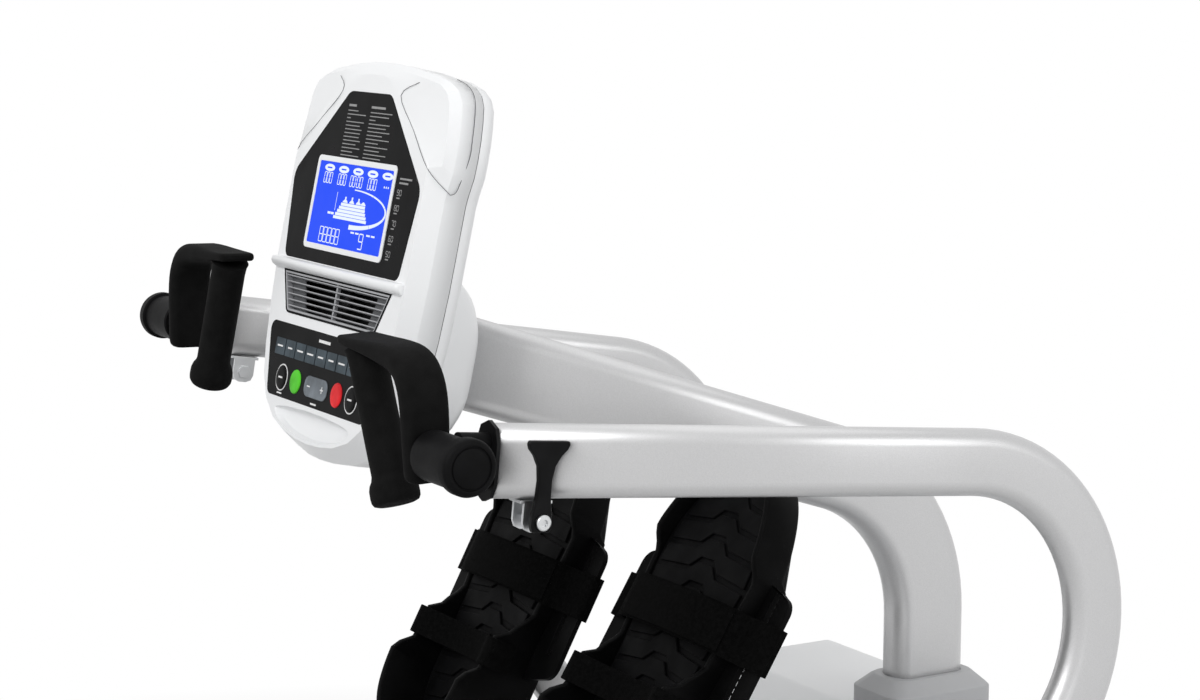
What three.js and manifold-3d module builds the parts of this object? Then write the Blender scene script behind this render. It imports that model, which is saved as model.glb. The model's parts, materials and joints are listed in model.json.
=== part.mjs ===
// Recumbent stepper with swinging arms, strapped pedals, console and swivel seat.
// Millimetres. +X points to the front of the machine, +Y to the user's left, +Z up.
// The origin is on the floor under the middle of the machine.

import * as THREE from 'three';
import { mergeVertices } from 'three/addons/utils/BufferGeometryUtils.js';
import Module from 'manifold-3d';

const wasm = await Module();
wasm.setup();

// Driving dimensions: clearances shared by all pieces
const fit = 0.3;
const slack = 1.5;
const overrun = 4;

// Driving dimensions: main axle and the two swinging sides
const axle = { forward: 510, height: 277, diameter: 35, hub: 50, boss: 76 };
const swing = { restAngle: 1.885, rockerRatio: 1.5 };
const arm = {
  offset: 391,
  height: 70,
  width: 35,
  corner: 17,
  wall: 3,
  lower: 360,
  lowerAngle: 56.1,
  bend: 184,
  fallAngle: 7.55,
  reach: 562,
  boss: 92,
  bossWidth: 40,
};

// Driving dimensions: mast and its boot
const mast = {
  height: 100,
  width: 50,
  corner: 20,
  wall: 4,
  forward: 804,
  topAhead: 125,
  topAbove: 43.9,
  fallAngle: 18.4,
  bend: 200,
  bracket: 30,
  clutchBearing: 44,
  clutchBearingWidth: 60,
  wheelBearing: 36,
  wheelBearingWidth: 100,
};
const boot = { length: 150, width: 98, corner: 18, skirt: 22, height: 39, chamfer: 16 };

// Driving dimensions: base
const beam = { width: 80, height: 70, wall: 4, corner: 8, half: 940 };
const stabiliser = {
  length: 80,
  height: 50,
  wall: 3,
  corner: 8,
  bottom: 28,
  inset: 34,
  frontHalf: 340,
  rearHalf: 300,
};
const cap = { width: 14, lip: 4, foot: 44 };
const wheel = { radius: 12, lift: 3, pin: 8, track: 180, width: 22, lug: 16, plate: 5 };
const stand = {
  foot: 120,
  head: 64,
  cross: 50,
  plate: 8,
  corner: 14,
  boss: 84,
  bossWidth: 24,
  inner: 80,
  outer: 282,
  bridgeRise: 30,
};

// Driving dimensions: equaliser, cranks, chains, brake
const crank = { offset: 45, radius: 70, thick: 12, tip: 10, ball: 20 };
const rocker = { width: 44, thick: 16, fork: 17, play: 2, corner: 6, pin: 16 };
const cradle = {
  radius: 100,
  tube: 40,
  margin: 6,
  plate: 10,
  left: 235,
  right: 105,
  hubRight: 220,
  hubInner: 25,
};
const chain = { offset: 64, radius: 51, teeth: 12, tooth: 5, plate: 6, width: 8, height: 7 };
const clutch = { forward: 706, shaft: 20, collar: 8, radius: 85, pulleyAt: 122, pulleyWidth: 14 };
const belt = { width: 12, height: 4 };
const flywheel = {
  forward: 835,
  height: 230,
  radius: 88,
  disc: 25,
  rim: 14,
  offset: 152,
  shaft: 20,
  pulley: 22,
};
const brake = { width: 60, cover: 14, cheek: 6, depth: 44 };
const hookShares = { overhang: 1.2 };
const clampShares = { neck: 0.62 };
const flangeShares = { inner: 0.8 };
const slotShares = [0.9, 0.7, 0.3, 0.1];
const ridgeShares = { half: 0.72 };
const toeStrapShares = { sideAcross: 0.55, sideRise: 0.85 };
const heelStrapShares = { cup: 0.88, lip: 1.2, middleAcross: 0.45, middleDip: 1.3 };
const lobeShares = { deep: 0.86, end: 1.6 };
const seatShares = { ear: 0.8, hinge: 1.3, channel: 0.3 };
const toothShares = [[0, 1], [0.3, 0], [0.5, 0], [0.8, 1]];

// Driving dimensions: shroud
const shroud = {
  half: 300,
  wall: 4,
  bottom: 84,
  rear: 392,
  front: 945,
  noseInset: 15,
  noseLow: 125,
  nose: 250,
  brow: 22,
  browHeight: 420,
  shelf: 7,
  kneeForward: 560,
  kneeHeight: 420,
  step: 38,
  stepHeight: 362,
  shoulder: 205,
  corner: 26,
  slotFrom: 78,
  slotTo: 152,
  slotReach: 330,
  slotMargin: 14,
};
const shroudTop = 478;

// Driving dimensions: what each arm carries at its rear end
const bush = { lip: 5, flange: 4, depth: 40 };
const stem = { height: 52, width: 20, corner: 9, depth: 120 };
const hub = { back: 43, radius: 24, capRadius: 27, capLength: 16, outer: 48, inner: 29, journal: 14 };
const hook = {
  width: 40,
  thick: 17,
  bar: 365,
  grip: 226,
  gripBottom: 276,
  rise: 98,
  drop: 52,
  topDrop: 10,
  round: 26,
  foot: 26,
  gripRadius: 18,
  flareRadius: 21.5,
  flare: 26,
};
const clamp = {
  ahead: 47,
  length: 26,
  drop: 30,
  width: 22,
  plate: 3,
  saddle: 34,
  pin: 8,
  pinDrop: 12,
  leverRise: 76,
  leverThick: 7,
  leverFoot: 20,
  leverNeck: 14,
  leverHead: 44,
};

// Driving dimensions: pedal levers and pedals
const pedalLever = {
  height: 50,
  width: 30,
  corner: 8,
  wall: 3,
  startAngle: 108,
  endAngle: 124,
  first: 121.5,
  bend: 150,
  second: 196,
  boss: 36,
  plateLength: 120,
  plateWidth: 90,
  plate: 8,
};
const pedal = {
  offset: 163,
  back: 195,
  rise: 349,
  slope: 60,
  toe: 235,
  heel: 165,
  halfWidth: 91,
  wall: 8,
  floor: 6,
  depth: 42,
  shallow: 30,
  stepAt: 126,
  heelRim: 60,
  cupRim: 38,
  toeRim: 18,
  sideRim: 3,
};
const flange = { reach: 143, from: -62, to: 128, top: -18, thick: 6, corner: 18, slotFrom: -20, slotTo: 116 };
const slot = { offset: 115.5, half: 4, tooth: 2, pitch: 11.3 };
const footbed = { thick: 5, ridge: 3, bar: 7, pitch: 28.3, peak: 24, drop: 26, count: 8, first: -104 };
const toeStrap = { from: 29, to: 81, rise: 26, thick: 3.2 };
const heelStrap = { from: -62, to: -28, dip: 15, thick: 3.2, hang: 30 };
// Rings of a cushion from its underside up: [share drawn in, share of the height]
const cushionShares = [[0.16, 0], [0.03, 0.12], [0, 0.45], [0.04, 0.75], [0.2, 0.95], [0.5, 1]];
// Half outline of the foot: [share of the way from heel to toe, share of the half width]
const footShares = [
  [0, 0.3], [0.025, 0.55], [0.08, 0.76], [0.17, 0.86], [0.3, 0.86], [0.42, 0.88], [0.55, 0.94],
  [0.67, 1], [0.77, 0.97], [0.86, 0.83], [0.93, 0.64], [0.98, 0.4], [1, 0.2],
];

// Driving dimensions: console, drawn on its face: x to the user's right, y up the face, z to the user
const face = { forward: 5, height: 917, tiltAngle: 12.5, wall: 3, front: 5 };
const shell = { seam: 56, side: 12, facet: 43, facetFrom: 280, rearSide: 68, rearDepth: 84, crown: 34 };
// Half outline from the top to the bottom: [front x, front y, full x, full y]
const consoleTable = {
  halfWidth: 168,
  top: 360,
  bottom: 60,
};
const consoleShares = [
  [0, 0.958, 0, 1], [0.24, 0.953, 0.3, 0.994], [0.43, 0.917, 0.625, 0.969], [0.6, 0.833, 0.833, 0.939],
  [0.774, 0.75, 0.94, 0.883], [0.94, 0.68, 0.988, 0.792], [0.952, 0.625, 1, 0.667], [0.94, 0.389, 1, 0.389],
  [0.905, 0.203, 0.97, 0.203], [0.821, 0.042, 0.893, 0.028],
];
const consoleFootShares = [
  [0.75, -0.167, 0.81, -0.3], [0.595, -0.517, 0.643, -0.7], [0.357, -0.667, 0.369, -0.883], [0, -0.75, 0, -1],
];
const lobe = { halfWidth: 98, top: 180, bottom: -52, depth: 150, corner: 40 };
const bezel = {
  top: 326,
  shoulder: 234,
  bottom: 141,
  halfTop: 49,
  halfShoulder: 153,
  halfBottom: 139,
  thick: 2.2,
};
const screen = { halfWidth: 95, bottom: 155, top: 255, frame: 6, rise: 1, depth: 1 };
const ledge = { bottom: 127, top: 138, halfWidth: 160, out: 17, droop: 5 };
const fan = {
  top: 127,
  bottom: 83,
  halfTop: 131,
  halfBottom: 108,
  corner: 8,
  rim: 5,
  thick: 7,
  slats: 8,
  slat: 2,
  blockHalf: 12,
  rib: 6,
  rotor: 19,
  rotorDepth: 16,
  motor: 9,
  blades: 7,
};
const keypad = { halfTop: 142, halfBottom: 120, top: 71, bottom: -8, corner: 10, thick: 2.2 };
const key = { first: -117, pitch: 26, count: 8, width: 24, bottom: 36, top: 54, rise: 0.6 };
const button = { row: 13, radius: 13, depth: 9, proud: 1.4, travel: 1.2, flange: 2, flangeThick: 2 };
const buttonPlaces = { fan: -88, start: -52, stop: 51, enter: 86 };
const level = { halfWidth: 28, halfHeight: 11, corner: 6, depth: 7, proud: 1.6 };
const scoop = { halfWidth: 92, top: -16, bottom: -40, depth: 9 };

// Driving dimensions: seat
const rail = { width: 70, height: 60, wall: 4, corner: 6, rear: -940, front: -150 };
const carriage = { length: 260, width: 130, thick: 10, drop: 40, middle: -485, roof: 14 };
const post = { radius: 45, top: 396, flangeRadius: 90, flange: 10, bearing: 60, bearingHeight: 60 };
const pan = { length: 380, width: 360, thick: 12, corner: 40 };
const cushion = { length: 430, width: 470, height: 82, corner: 90, crown: 14, middle: -485 };
const backFrame = {
  hingeForward: -735,
  hingeHeight: 376,
  tube: 30,
  half: 130,
  height: 520,
  leanAngle: 12,
  plate: 6,
};
const backCushion = { width: 440, height: 470, thick: 75, corner: 90, crown: 12, bottom: 128 };
const seatLever = { radius: 7, length: 130, knob: 13, knobLength: 60 };

// Places that follow from the sizes above
const radians = THREE.MathUtils.degToRad;
const stabiliserTop = stabiliser.bottom + stabiliser.height;
const beamBottom = stabiliserTop + fit;
const beamTop = beamBottom + beam.height;
const mastFoot = beamTop + fit;
const rockerHeight = axle.height + crank.radius;
const shaftEnd = arm.offset + arm.bossWidth / 2 + fit;
const hubEnd = arm.offset + arm.bossWidth / 2;
const mastTopAt = [face.forward + mast.topAhead, face.height + mast.topAbove];
const stabiliserForward = beam.half - stabiliser.inset;
const axleAt = [axle.forward, axle.height];
const clutchAt = [clutch.forward, axle.height];
const wheelAt = [flywheel.forward, flywheel.height];

// Helpers: solids and geometries

function turnedOut(geometry) {
  const points = geometry.attributes.position;
  const index = geometry.index.array;
  const corner = (i) => new THREE.Vector3().fromBufferAttribute(points, index[i]);
  let volume = 0;
  for (let i = 0; i < index.length; i += 3) {
    volume += corner(i).dot(corner(i + 1).cross(corner(i + 2)));
  }
  if (volume < 0) {
    for (let i = 0; i < index.length; i += 3) {
      const kept = index[i];
      index[i] = index[i + 1];
      index[i + 1] = kept;
    }
  }
  return geometry;
}

function welded(geometry) {
  const plain = geometry.clone();
  plain.deleteAttribute('normal');
  plain.deleteAttribute('uv');
  return turnedOut(mergeVertices(plain));
}

function solid(geometry) {
  const closed = welded(geometry);
  const vertProperties = new Float32Array(closed.attributes.position.array);
  const triVerts = new Uint32Array(closed.index.array);
  return new wasm.Manifold(new wasm.Mesh({ numProp: 3, vertProperties, triVerts }));
}

function geometryOf(manifold) {
  const mesh = manifold.getMesh();
  const geometry = new THREE.BufferGeometry();
  geometry.setAttribute('position', new THREE.BufferAttribute(new Float32Array(mesh.vertProperties), 3));
  geometry.setIndex(Array.from(mesh.triVerts));
  return geometry;
}

// Joins the first list of geometries and cuts the second list out of them.
function shaped(joined, cuts = []) {
  const sum = joined.map(solid).reduce((whole, next) => whole.add(next));
  return geometryOf(cuts.map(solid).reduce((whole, next) => whole.subtract(next), sum));
}

function shared(first, second) {
  return geometryOf(solid(first).intersect(solid(second)));
}

function mirrored(geometry) {
  return turnedOut(welded(geometry).scale(1, -1, 1));
}

// Outlines are lists of [a, b] points, counter-clockwise.

function circle(radius, sides = 12, centre = [0, 0]) {
  const points = [];
  for (let i = 0; i < sides; i += 1) {
    const angle = (i / sides) * 2 * Math.PI;
    points.push([centre[0] + radius * Math.cos(angle), centre[1] + radius * Math.sin(angle)]);
  }
  return points;
}

// Rounds the corners of an outline whose points are [a, b, radius].
function rounded(corners, steps = 2) {
  const points = [];
  corners.forEach(([a, b, radius], i) => {
    const before = corners[(i + corners.length - 1) % corners.length];
    const after = corners[(i + 1) % corners.length];
    const corner = new THREE.Vector2(a, b);
    if (!radius) {
      points.push([a, b]);
      return;
    }
    const back = new THREE.Vector2(before[0], before[1]).sub(corner).normalize();
    const ahead = new THREE.Vector2(after[0], after[1]).sub(corner).normalize();
    const half = Math.acos(THREE.MathUtils.clamp(back.dot(ahead), -1, 1)) / 2;
    const reach = radius / Math.tan(half);
    const middle = back.clone().add(ahead).normalize();
    const centre = corner.clone().addScaledVector(middle, radius / Math.sin(half));
    const first = corner.clone().addScaledVector(back, reach).sub(centre);
    const last = corner.clone().addScaledVector(ahead, reach).sub(centre);
    const start = first.angle();
    let sweep = last.angle() - start;
    if (sweep > Math.PI) sweep -= 2 * Math.PI;
    if (sweep < -Math.PI) sweep += 2 * Math.PI;
    for (let k = 0; k <= steps; k += 1) {
      const angle = start + (sweep * k) / steps;
      points.push([centre.x + radius * Math.cos(angle), centre.y + radius * Math.sin(angle)]);
    }
  });
  return points;
}

function box(low, high, radius = 0, steps = 2) {
  return rounded([
    [low[0], low[1], radius],
    [high[0], low[1], radius],
    [high[0], high[1], radius],
    [low[0], high[1], radius],
  ], steps);
}

function rectangle(width, height, radius = 0, steps = 2) {
  return box([-width / 2, -height / 2], [width / 2, height / 2], radius, steps);
}

function moved(points, a, b) {
  return points.map(([first, second]) => [first + a, second + b]);
}

// Prisms: an outline in one plane, extruded across it between two places.
const planes = {
  xy: [new THREE.Vector3(1, 0, 0), new THREE.Vector3(0, 1, 0)],
  xz: [new THREE.Vector3(1, 0, 0), new THREE.Vector3(0, 0, 1)],
  yz: [new THREE.Vector3(0, 1, 0), new THREE.Vector3(0, 0, 1)],
};

function prism(plane, points, from, to, holes = []) {
  const shape = new THREE.Shape(points.map(([a, b]) => new THREE.Vector2(a, b)));
  shape.holes = holes.map((hole) => new THREE.Path(hole.map(([a, b]) => new THREE.Vector2(a, b))));
  const [first, second] = planes[plane];
  const normal = first.clone().cross(second);
  const along = normal.x + normal.y + normal.z;
  const start = along > 0 ? Math.min(from, to) : -Math.max(from, to);
  const geometry = new THREE.ExtrudeGeometry(shape, { depth: Math.abs(to - from), bevelEnabled: false });
  geometry.translate(0, 0, start);
  geometry.applyMatrix4(new THREE.Matrix4().makeBasis(first, second, normal));
  return welded(geometry);
}

function block(low, high) {
  return prism('xy', box(low, high), low[2], high[2]);
}

// A cylinder along one axis through a centre given in the plane across it.
function rod(axis, centre, radius, from, to, sides = 12) {
  const plane = { x: 'yz', y: 'xz', z: 'xy' }[axis];
  return prism(plane, circle(radius, sides, centre), from, to);
}

// The radius of a faceted circle that lies outside a true one
function around(radius, sides) {
  return radius / Math.cos(Math.PI / sides);
}

// A hole in which a round piece of this radius turns freely
function bore(axis, centre, radius, from, to, sides = 12) {
  return rod(axis, centre, around(radius + fit, sides), from, to, sides);
}

// A ring along one axis: outer and inner radius.
function ring(axis, centre, outer, inner, from, to, sides = 12) {
  const plane = { x: 'yz', y: 'xz', z: 'xy' }[axis];
  return prism(plane, circle(outer, sides, centre), from, to, [circle(inner, sides, centre)]);
}

// A body turned about one axis from a profile of [radius, place along the axis].
function turned(axis, centre, profile, sides = 12) {
  const points = profile.map(([radius, along]) => new THREE.Vector2(radius, along));
  const geometry = new THREE.LatheGeometry(points, sides);
  if (axis === 'x') geometry.rotateZ(-Math.PI / 2);
  if (axis === 'z') geometry.rotateX(Math.PI / 2);
  geometry.translate(...centre);
  return welded(geometry);
}

// Rings of points joined into one closed skin; open rings are capped by a fan.
function loft(rings) {
  const count = rings[0].length;
  const points = rings.flat();
  const index = [];
  for (let r = 0; r + 1 < rings.length; r += 1) {
    for (let i = 0; i < count; i += 1) {
      const a = r * count + i;
      const b = r * count + ((i + 1) % count);
      index.push(a, b, b + count, a, b + count, a + count);
    }
  }
  [0, rings.length - 1].forEach((r) => {
    const centre = new THREE.Vector3();
    rings[r].forEach((point) => centre.addScaledVector(point, 1 / count));
    points.push(centre);
    for (let i = 0; i < count; i += 1) {
      const a = r * count + i;
      const b = r * count + ((i + 1) % count);
      index.push(...(r === 0 ? [b, a] : [a, b]), points.length - 1);
    }
  });
  return skin(points, index);
}

function skin(points, index) {
  const geometry = new THREE.BufferGeometry().setFromPoints(points);
  geometry.setIndex(index);
  return turnedOut(geometry);
}

// Two sets of rings, outside and inside, closed at both ends by their rims.
function hollowLoft(outer, inner) {
  const count = outer[0].length;
  const points = [...outer.flat(), ...inner.flat()];
  const shift = outer.length * count;
  const index = [];
  const last = (outer.length - 1) * count;
  for (let r = 0; r + 1 < outer.length; r += 1) {
    for (let i = 0; i < count; i += 1) {
      const a = r * count + i;
      const b = r * count + ((i + 1) % count);
      index.push(a, b, b + count, a, b + count, a + count);
      index.push(shift + b, shift + a, shift + b + count, shift + b + count, shift + a, shift + a + count);
    }
  }
  for (let i = 0; i < count; i += 1) {
    const next = (i + 1) % count;
    index.push(next, i, shift + i, next, shift + i, shift + next);
    index.push(last + i, last + next, shift + last + next, last + i, shift + last + next, shift + last + i);
  }
  return skin(points, index);
}

// A route in the XZ plane: straight legs and bends, as stations with a heading in degrees.
const bendStep = 15;

function route(start, heading, legs) {
  const stations = [{ x: start[0], z: start[1], heading }];
  const go = (length) => {
    const from = stations[stations.length - 1];
    const angle = radians(from.heading);
    stations.push({
      x: from.x + length * Math.cos(angle),
      z: from.z + length * Math.sin(angle),
      heading: from.heading,
    });
  };
  legs.forEach((leg) => {
    if (leg.straight) {
      go(leg.straight);
      return;
    }
    const steps = Math.ceil(Math.abs(leg.turn) / bendStep);
    const from = stations[stations.length - 1];
    const side = Math.sign(leg.turn);
    const first = radians(from.heading - 90 * side);
    const centre = [from.x - leg.radius * Math.cos(first), from.z - leg.radius * Math.sin(first)];
    for (let i = 1; i <= steps; i += 1) {
      const turn = (leg.turn * i) / steps;
      const angle = first + radians(turn);
      stations.push({
        x: centre[0] + leg.radius * Math.cos(angle),
        z: centre[1] + leg.radius * Math.sin(angle),
        heading: from.heading + turn,
      });
    }
  });
  return stations;
}

// Section points are [across Y, across the route in its plane].
function ringsAlong(stations, section, y = 0) {
  return stations.map(({ x, z, heading }) => {
    const angle = radians(heading);
    const [rise, run] = [Math.cos(angle), Math.sin(angle)];
    return section.map(([a, b]) => new THREE.Vector3(x - b * run, y + a, z + b * rise));
  });
}

function tubeSection(size, inset = 0, steps = 2) {
  return rectangle(size.width - 2 * inset, size.height - 2 * inset, size.corner - inset, steps);
}

function bentTube(stations, size, y = 0) {
  const outer = ringsAlong(stations, tubeSection(size), y);
  return hollowLoft(outer, ringsAlong(stations, tubeSection(size, size.wall), y));
}

// The convex outline round a set of points
function hullOf(points) {
  const sorted = [...points].sort((p, q) => p[0] - q[0] || p[1] - q[1]);
  const turn = (o, p, q) => (p[0] - o[0]) * (q[1] - o[1]) - (p[1] - o[1]) * (q[0] - o[0]);
  const chainOf = (list) => {
    const kept = [];
    list.forEach((point) => {
      while (kept.length > 1 && turn(kept[kept.length - 2], kept[kept.length - 1], point) <= 0) kept.pop();
      kept.push(point);
    });
    kept.pop();
    return kept;
  };
  return [...chainOf(sorted), ...chainOf(sorted.reverse())];
}

// A rounded bar round two circles
function hull(firstRadius, second, secondRadius, first = [0, 0], sides = 12) {
  return hullOf([...circle(firstRadius, sides, first), ...circle(secondRadius, sides, second)]);
}

const leastMitreShare = 0.3;

// Moves every edge of an outline outwards by a distance, inwards when it is negative
function offsetOutline(points, distance) {
  const count = points.length;
  return points.map((point, i) => {
    const before = new THREE.Vector2(...points[(i + count - 1) % count]);
    const here = new THREE.Vector2(...point);
    const after = new THREE.Vector2(...points[(i + 1) % count]);
    const first = here.clone().sub(before).normalize();
    const second = after.clone().sub(here).normalize();
    const normal = new THREE.Vector2(first.y + second.y, -first.x - second.x).normalize();
    const share = Math.max(normal.dot(new THREE.Vector2(first.y, -first.x)), leastMitreShare);
    here.addScaledVector(normal, distance / share);
    return [here.x, here.y];
  });
}

// Several separate solids as one geometry
function joinedApart(geometries) {
  const points = [];
  const index = [];
  geometries.map(welded).forEach((geometry) => {
    const start = points.length;
    const position = geometry.attributes.position;
    for (let i = 0; i < position.count; i += 1) {
      points.push(new THREE.Vector3().fromBufferAttribute(position, i));
    }
    Array.from(geometry.index.array).forEach((i) => index.push(start + i));
  });
  return skin(points, index);
}

// Finishes
const finishes = {
  silver: { color: 0xb4b5b7, roughness: 0.42, metalness: 0.6 },
  blackSteel: { color: 0x1b1c1e, roughness: 0.5, metalness: 0.3 },
  steel: { color: 0x9a9da0, roughness: 0.35, metalness: 1 },
  zinc: { color: 0xb7b8b6, roughness: 0.4, metalness: 1 },
  iron: { color: 0x4a4c4f, roughness: 0.6, metalness: 0.9 },
  white: { color: 0xeef0f0, roughness: 0.4, metalness: 0 },
  lightGrey: { color: 0xc4c8ca, roughness: 0.5, metalness: 0 },
  grey: { color: 0x8b8f93, roughness: 0.5, metalness: 0 },
  black: { color: 0x141415, roughness: 0.6, metalness: 0 },
  gloss: { color: 0x0c0c0d, roughness: 0.2, metalness: 0 },
  rubber: { color: 0x161616, roughness: 0.9, metalness: 0 },
  fabric: { color: 0x121212, roughness: 0.95, metalness: 0 },
  vinyl: { color: 0x232427, roughness: 0.6, metalness: 0 },
  green: { color: 0x47b02e, roughness: 0.4, metalness: 0 },
  red: { color: 0xd22b2f, roughness: 0.4, metalness: 0 },
};

function piece(name, finish, geometry, parent) {
  const mesh = new THREE.Mesh(welded(geometry), new THREE.MeshStandardMaterial(finishes[finish]));
  mesh.name = name;
  parent.add(mesh);
}

// Assembly
const stepper = new THREE.Group();
const sides = [['right', -1], ['left', 1]];

// The two swinging sides, drawn about the axle with both arms level, stand apart at rest.
const swingGroups = sides.map(([, side]) => {
  const group = new THREE.Group();
  group.position.set(axle.forward, 0, axle.height);
  group.rotation.y = radians(side * swing.restAngle);
  stepper.add(group);
  return group;
});

// Arms
const armRoute = route([0, 0], arm.lowerAngle, [
  { straight: arm.lower },
  { radius: arm.bend, turn: 180 - arm.fallAngle - arm.lowerAngle },
  { straight: arm.reach },
]);

function armGeometry(shaft) {
  const tube = bentTube(armRoute, arm, arm.offset);
  const [from, to] = [arm.offset - arm.bossWidth / 2, arm.offset + arm.bossWidth / 2];
  const boss = rod('y', [0, 0], arm.boss / 2, from, to, 20);
  return shaped([tube, boss], [rod('y', [0, 0], shaft / 2 + fit, from - overrun, to + overrun)]);
}

sides.forEach(([name, side], i) => {
  const geometry = armGeometry(i === 0 ? axle.diameter : axle.hub);
  piece(`${name}_arm`, 'silver', side < 0 ? mirrored(geometry) : geometry, swingGroups[i]);
});

// Magnetic brake: a caliper over the flywheel's rim, on an arm of the mast
function brakeGeometry() {
  const top = flywheel.height + flywheel.radius + brake.cover;
  const half = brake.width / 2;
  const inner = flywheel.disc / 2 + slack;
  const caliper = block(
    [flywheel.forward - half, -flywheel.offset - inner - brake.cheek, top - brake.depth],
    [flywheel.forward + half, -flywheel.offset + inner + brake.cheek, top],
  );
  const carrier = block(
    [flywheel.forward - half / 2, -flywheel.offset, top - brake.cheek],
    [flywheel.forward + half / 2, -mast.width / 2 + mast.wall / 2, top],
  );
  const middle = -flywheel.offset;
  const slot = rod('y', wheelAt, flywheel.radius + slack, middle - inner, middle + inner, 20);
  return shaped([caliper, carrier], [slot]);
}

// Mast
const mastReach = (mast.forward - mast.bend * (1 - Math.sin(radians(mast.fallAngle))) - mastTopAt[0])
  / Math.cos(radians(mast.fallAngle));
const mastBendEnd = mastTopAt[1] - mastReach * Math.sin(radians(mast.fallAngle))
  - mast.bend * Math.cos(radians(mast.fallAngle));
const mastRoute = route(mastTopAt, -mast.fallAngle, [
  { straight: mastReach },
  { radius: mast.bend, turn: mast.fallAngle - 90 },
  { straight: mastBendEnd - mastFoot },
]);

function mastGeometry() {
  const bracket = block(
    [clutch.forward, -mast.bracket / 2, axle.height - mast.bracket / 2],
    [mast.forward - mast.height / 2 + mast.wall / 2, mast.bracket / 2, axle.height + mast.bracket / 2],
  );
  const clutchHalf = mast.clutchBearingWidth / 2;
  const wheelHalf = mast.wheelBearingWidth / 2;
  return shaped([
    bentTube(mastRoute, mast),
    brakeGeometry(),
    bracket,
    rod('y', clutchAt, mast.clutchBearing / 2, -clutchHalf, clutchHalf),
    rod('y', wheelAt, mast.wheelBearing / 2, -wheelHalf, wheelHalf),
  ], [
    bore('y', clutchAt, clutch.shaft / 2, -clutchHalf - overrun, clutchHalf + overrun),
    bore('y', wheelAt, flywheel.shaft / 2, -wheelHalf - overrun, wheelHalf + overrun),
  ]);
}
piece('mast', 'silver', mastGeometry(), stepper);

// Mast boot: a chamfered collar on the shroud
function bootGeometry() {
  const centre = mast.forward;
  const ringAt = (inset, z) => rectangle(boot.length - 2 * inset, boot.width - 2 * inset, boot.corner)
    .map(([x, y]) => new THREE.Vector3(centre + x, y, z));
  const bottom = shroudTop + fit;
  const outer = loft([
    ringAt(0, bottom),
    ringAt(0, bottom + boot.skirt),
    ringAt(boot.chamfer, bottom + boot.height),
  ]);
  const hole = rectangle(mast.height + 2 * fit, mast.width + 2 * fit, mast.corner, 2);
  return shaped([outer], [
    prism('xy', moved(hole, centre, 0), bottom - overrun, bottom + boot.height + overrun),
  ]);
}
piece('mast_boot', 'lightGrey', bootGeometry(), stepper);

// Base
function beamGeometry() {
  const outer = box([-beam.width / 2, beamBottom], [beam.width / 2, beamTop], beam.corner, 2);
  const inner = box(
    [-beam.width / 2 + beam.wall, beamBottom + beam.wall],
    [beam.width / 2 - beam.wall, beamTop - beam.wall],
    beam.corner - beam.wall,
    2,
  );
  return prism('yz', outer, -beam.half, beam.half, [inner]);
}

function stabiliserGeometry(forward, half) {
  const low = [forward - stabiliser.length / 2, stabiliser.bottom];
  const high = [forward + stabiliser.length / 2, stabiliserTop];
  const inner = box(
    [low[0] + stabiliser.wall, low[1] + stabiliser.wall],
    [high[0] - stabiliser.wall, high[1] - stabiliser.wall],
    stabiliser.corner - stabiliser.wall,
    2,
  );
  return prism('xz', box(low, high, stabiliser.corner), -half, half, [inner]);
}
piece('rear_stabiliser', 'silver', stabiliserGeometry(-stabiliserForward, stabiliser.rearHalf), stepper);

// End cap with a rubber foot under one tube end
function capGeometry(x, side, half) {
  const low = [x - stabiliser.length / 2 - cap.lip, stabiliser.bottom - cap.lip];
  const high = [x + stabiliser.length / 2 + cap.lip, stabiliserTop + cap.lip];
  const outer = side * (half + cap.width);
  const inner = side * (half + fit);
  const middle = side * (half - cap.foot / 2);
  return shaped([
    prism('xz', box(low, high, stabiliser.corner), inner, outer),
    prism('xz', box([x - cap.foot / 2, 0], [x + cap.foot / 2, stabiliser.bottom]), inner, outer),
    rod('z', [x, middle], cap.foot / 2, 0, stabiliser.bottom - fit, 12),
    block(
      [x - cap.foot / 2, Math.min(middle, outer), 0],
      [x + cap.foot / 2, Math.max(middle, outer), stabiliser.bottom - fit],
    ),
  ]);
}
[['front', 1, stabiliser.frontHalf], ['rear', -1, stabiliser.rearHalf]].forEach(([end, way, half]) => {
  sides.forEach(([name, side]) => {
    piece(`${name}_${end}_cap`, 'rubber', capGeometry(way * stabiliserForward, side, half), stepper);
  });
});

// Transport wheels on a pin in front of the front stabiliser's underside
function wheelsGeometry() {
  const at = [stabiliserForward, wheel.radius + wheel.lift];
  const pin = rod('y', at, wheel.pin / 2, -wheel.track / 2, wheel.track / 2, 12);
  const tyres = [-1, 1].map((side) => {
    const middle = (side * (wheel.track - wheel.width)) / 2;
    return rod('y', at, wheel.radius, middle - wheel.width / 2, middle + wheel.width / 2, 20);
  });
  return shaped([pin, ...tyres]);
}
piece('transport_wheels', 'rubber', wheelsGeometry(), stepper);

function wheelBracketGeometry() {
  const at = [stabiliserForward, wheel.radius + wheel.lift];
  const lugTop = stabiliser.bottom + stabiliser.wall / 2;
  const arms = [-1, 1].map((side) => {
    const outer = side * (wheel.track / 2 - wheel.width - slack);
    const lug = shaped([
      block(
        [stabiliserForward - wheel.lug / 2, Math.min(outer, outer - side * wheel.plate), at[1]],
        [stabiliserForward + wheel.lug / 2, Math.max(outer, outer - side * wheel.plate), lugTop],
      ),
      rod('y', at, wheel.lug / 2, outer - side * wheel.plate, outer, 12),
    ], [bore('y', at, wheel.pin / 2, outer - side * (wheel.plate + overrun), outer + side * overrun, 12)]);
    return lug;
  });
  return joinedApart(arms);
}
const frontTube = stabiliserGeometry(stabiliserForward, stabiliser.frontHalf);
piece('front_stabiliser', 'silver', shaped([frontTube, wheelBracketGeometry()]), stepper);

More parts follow.
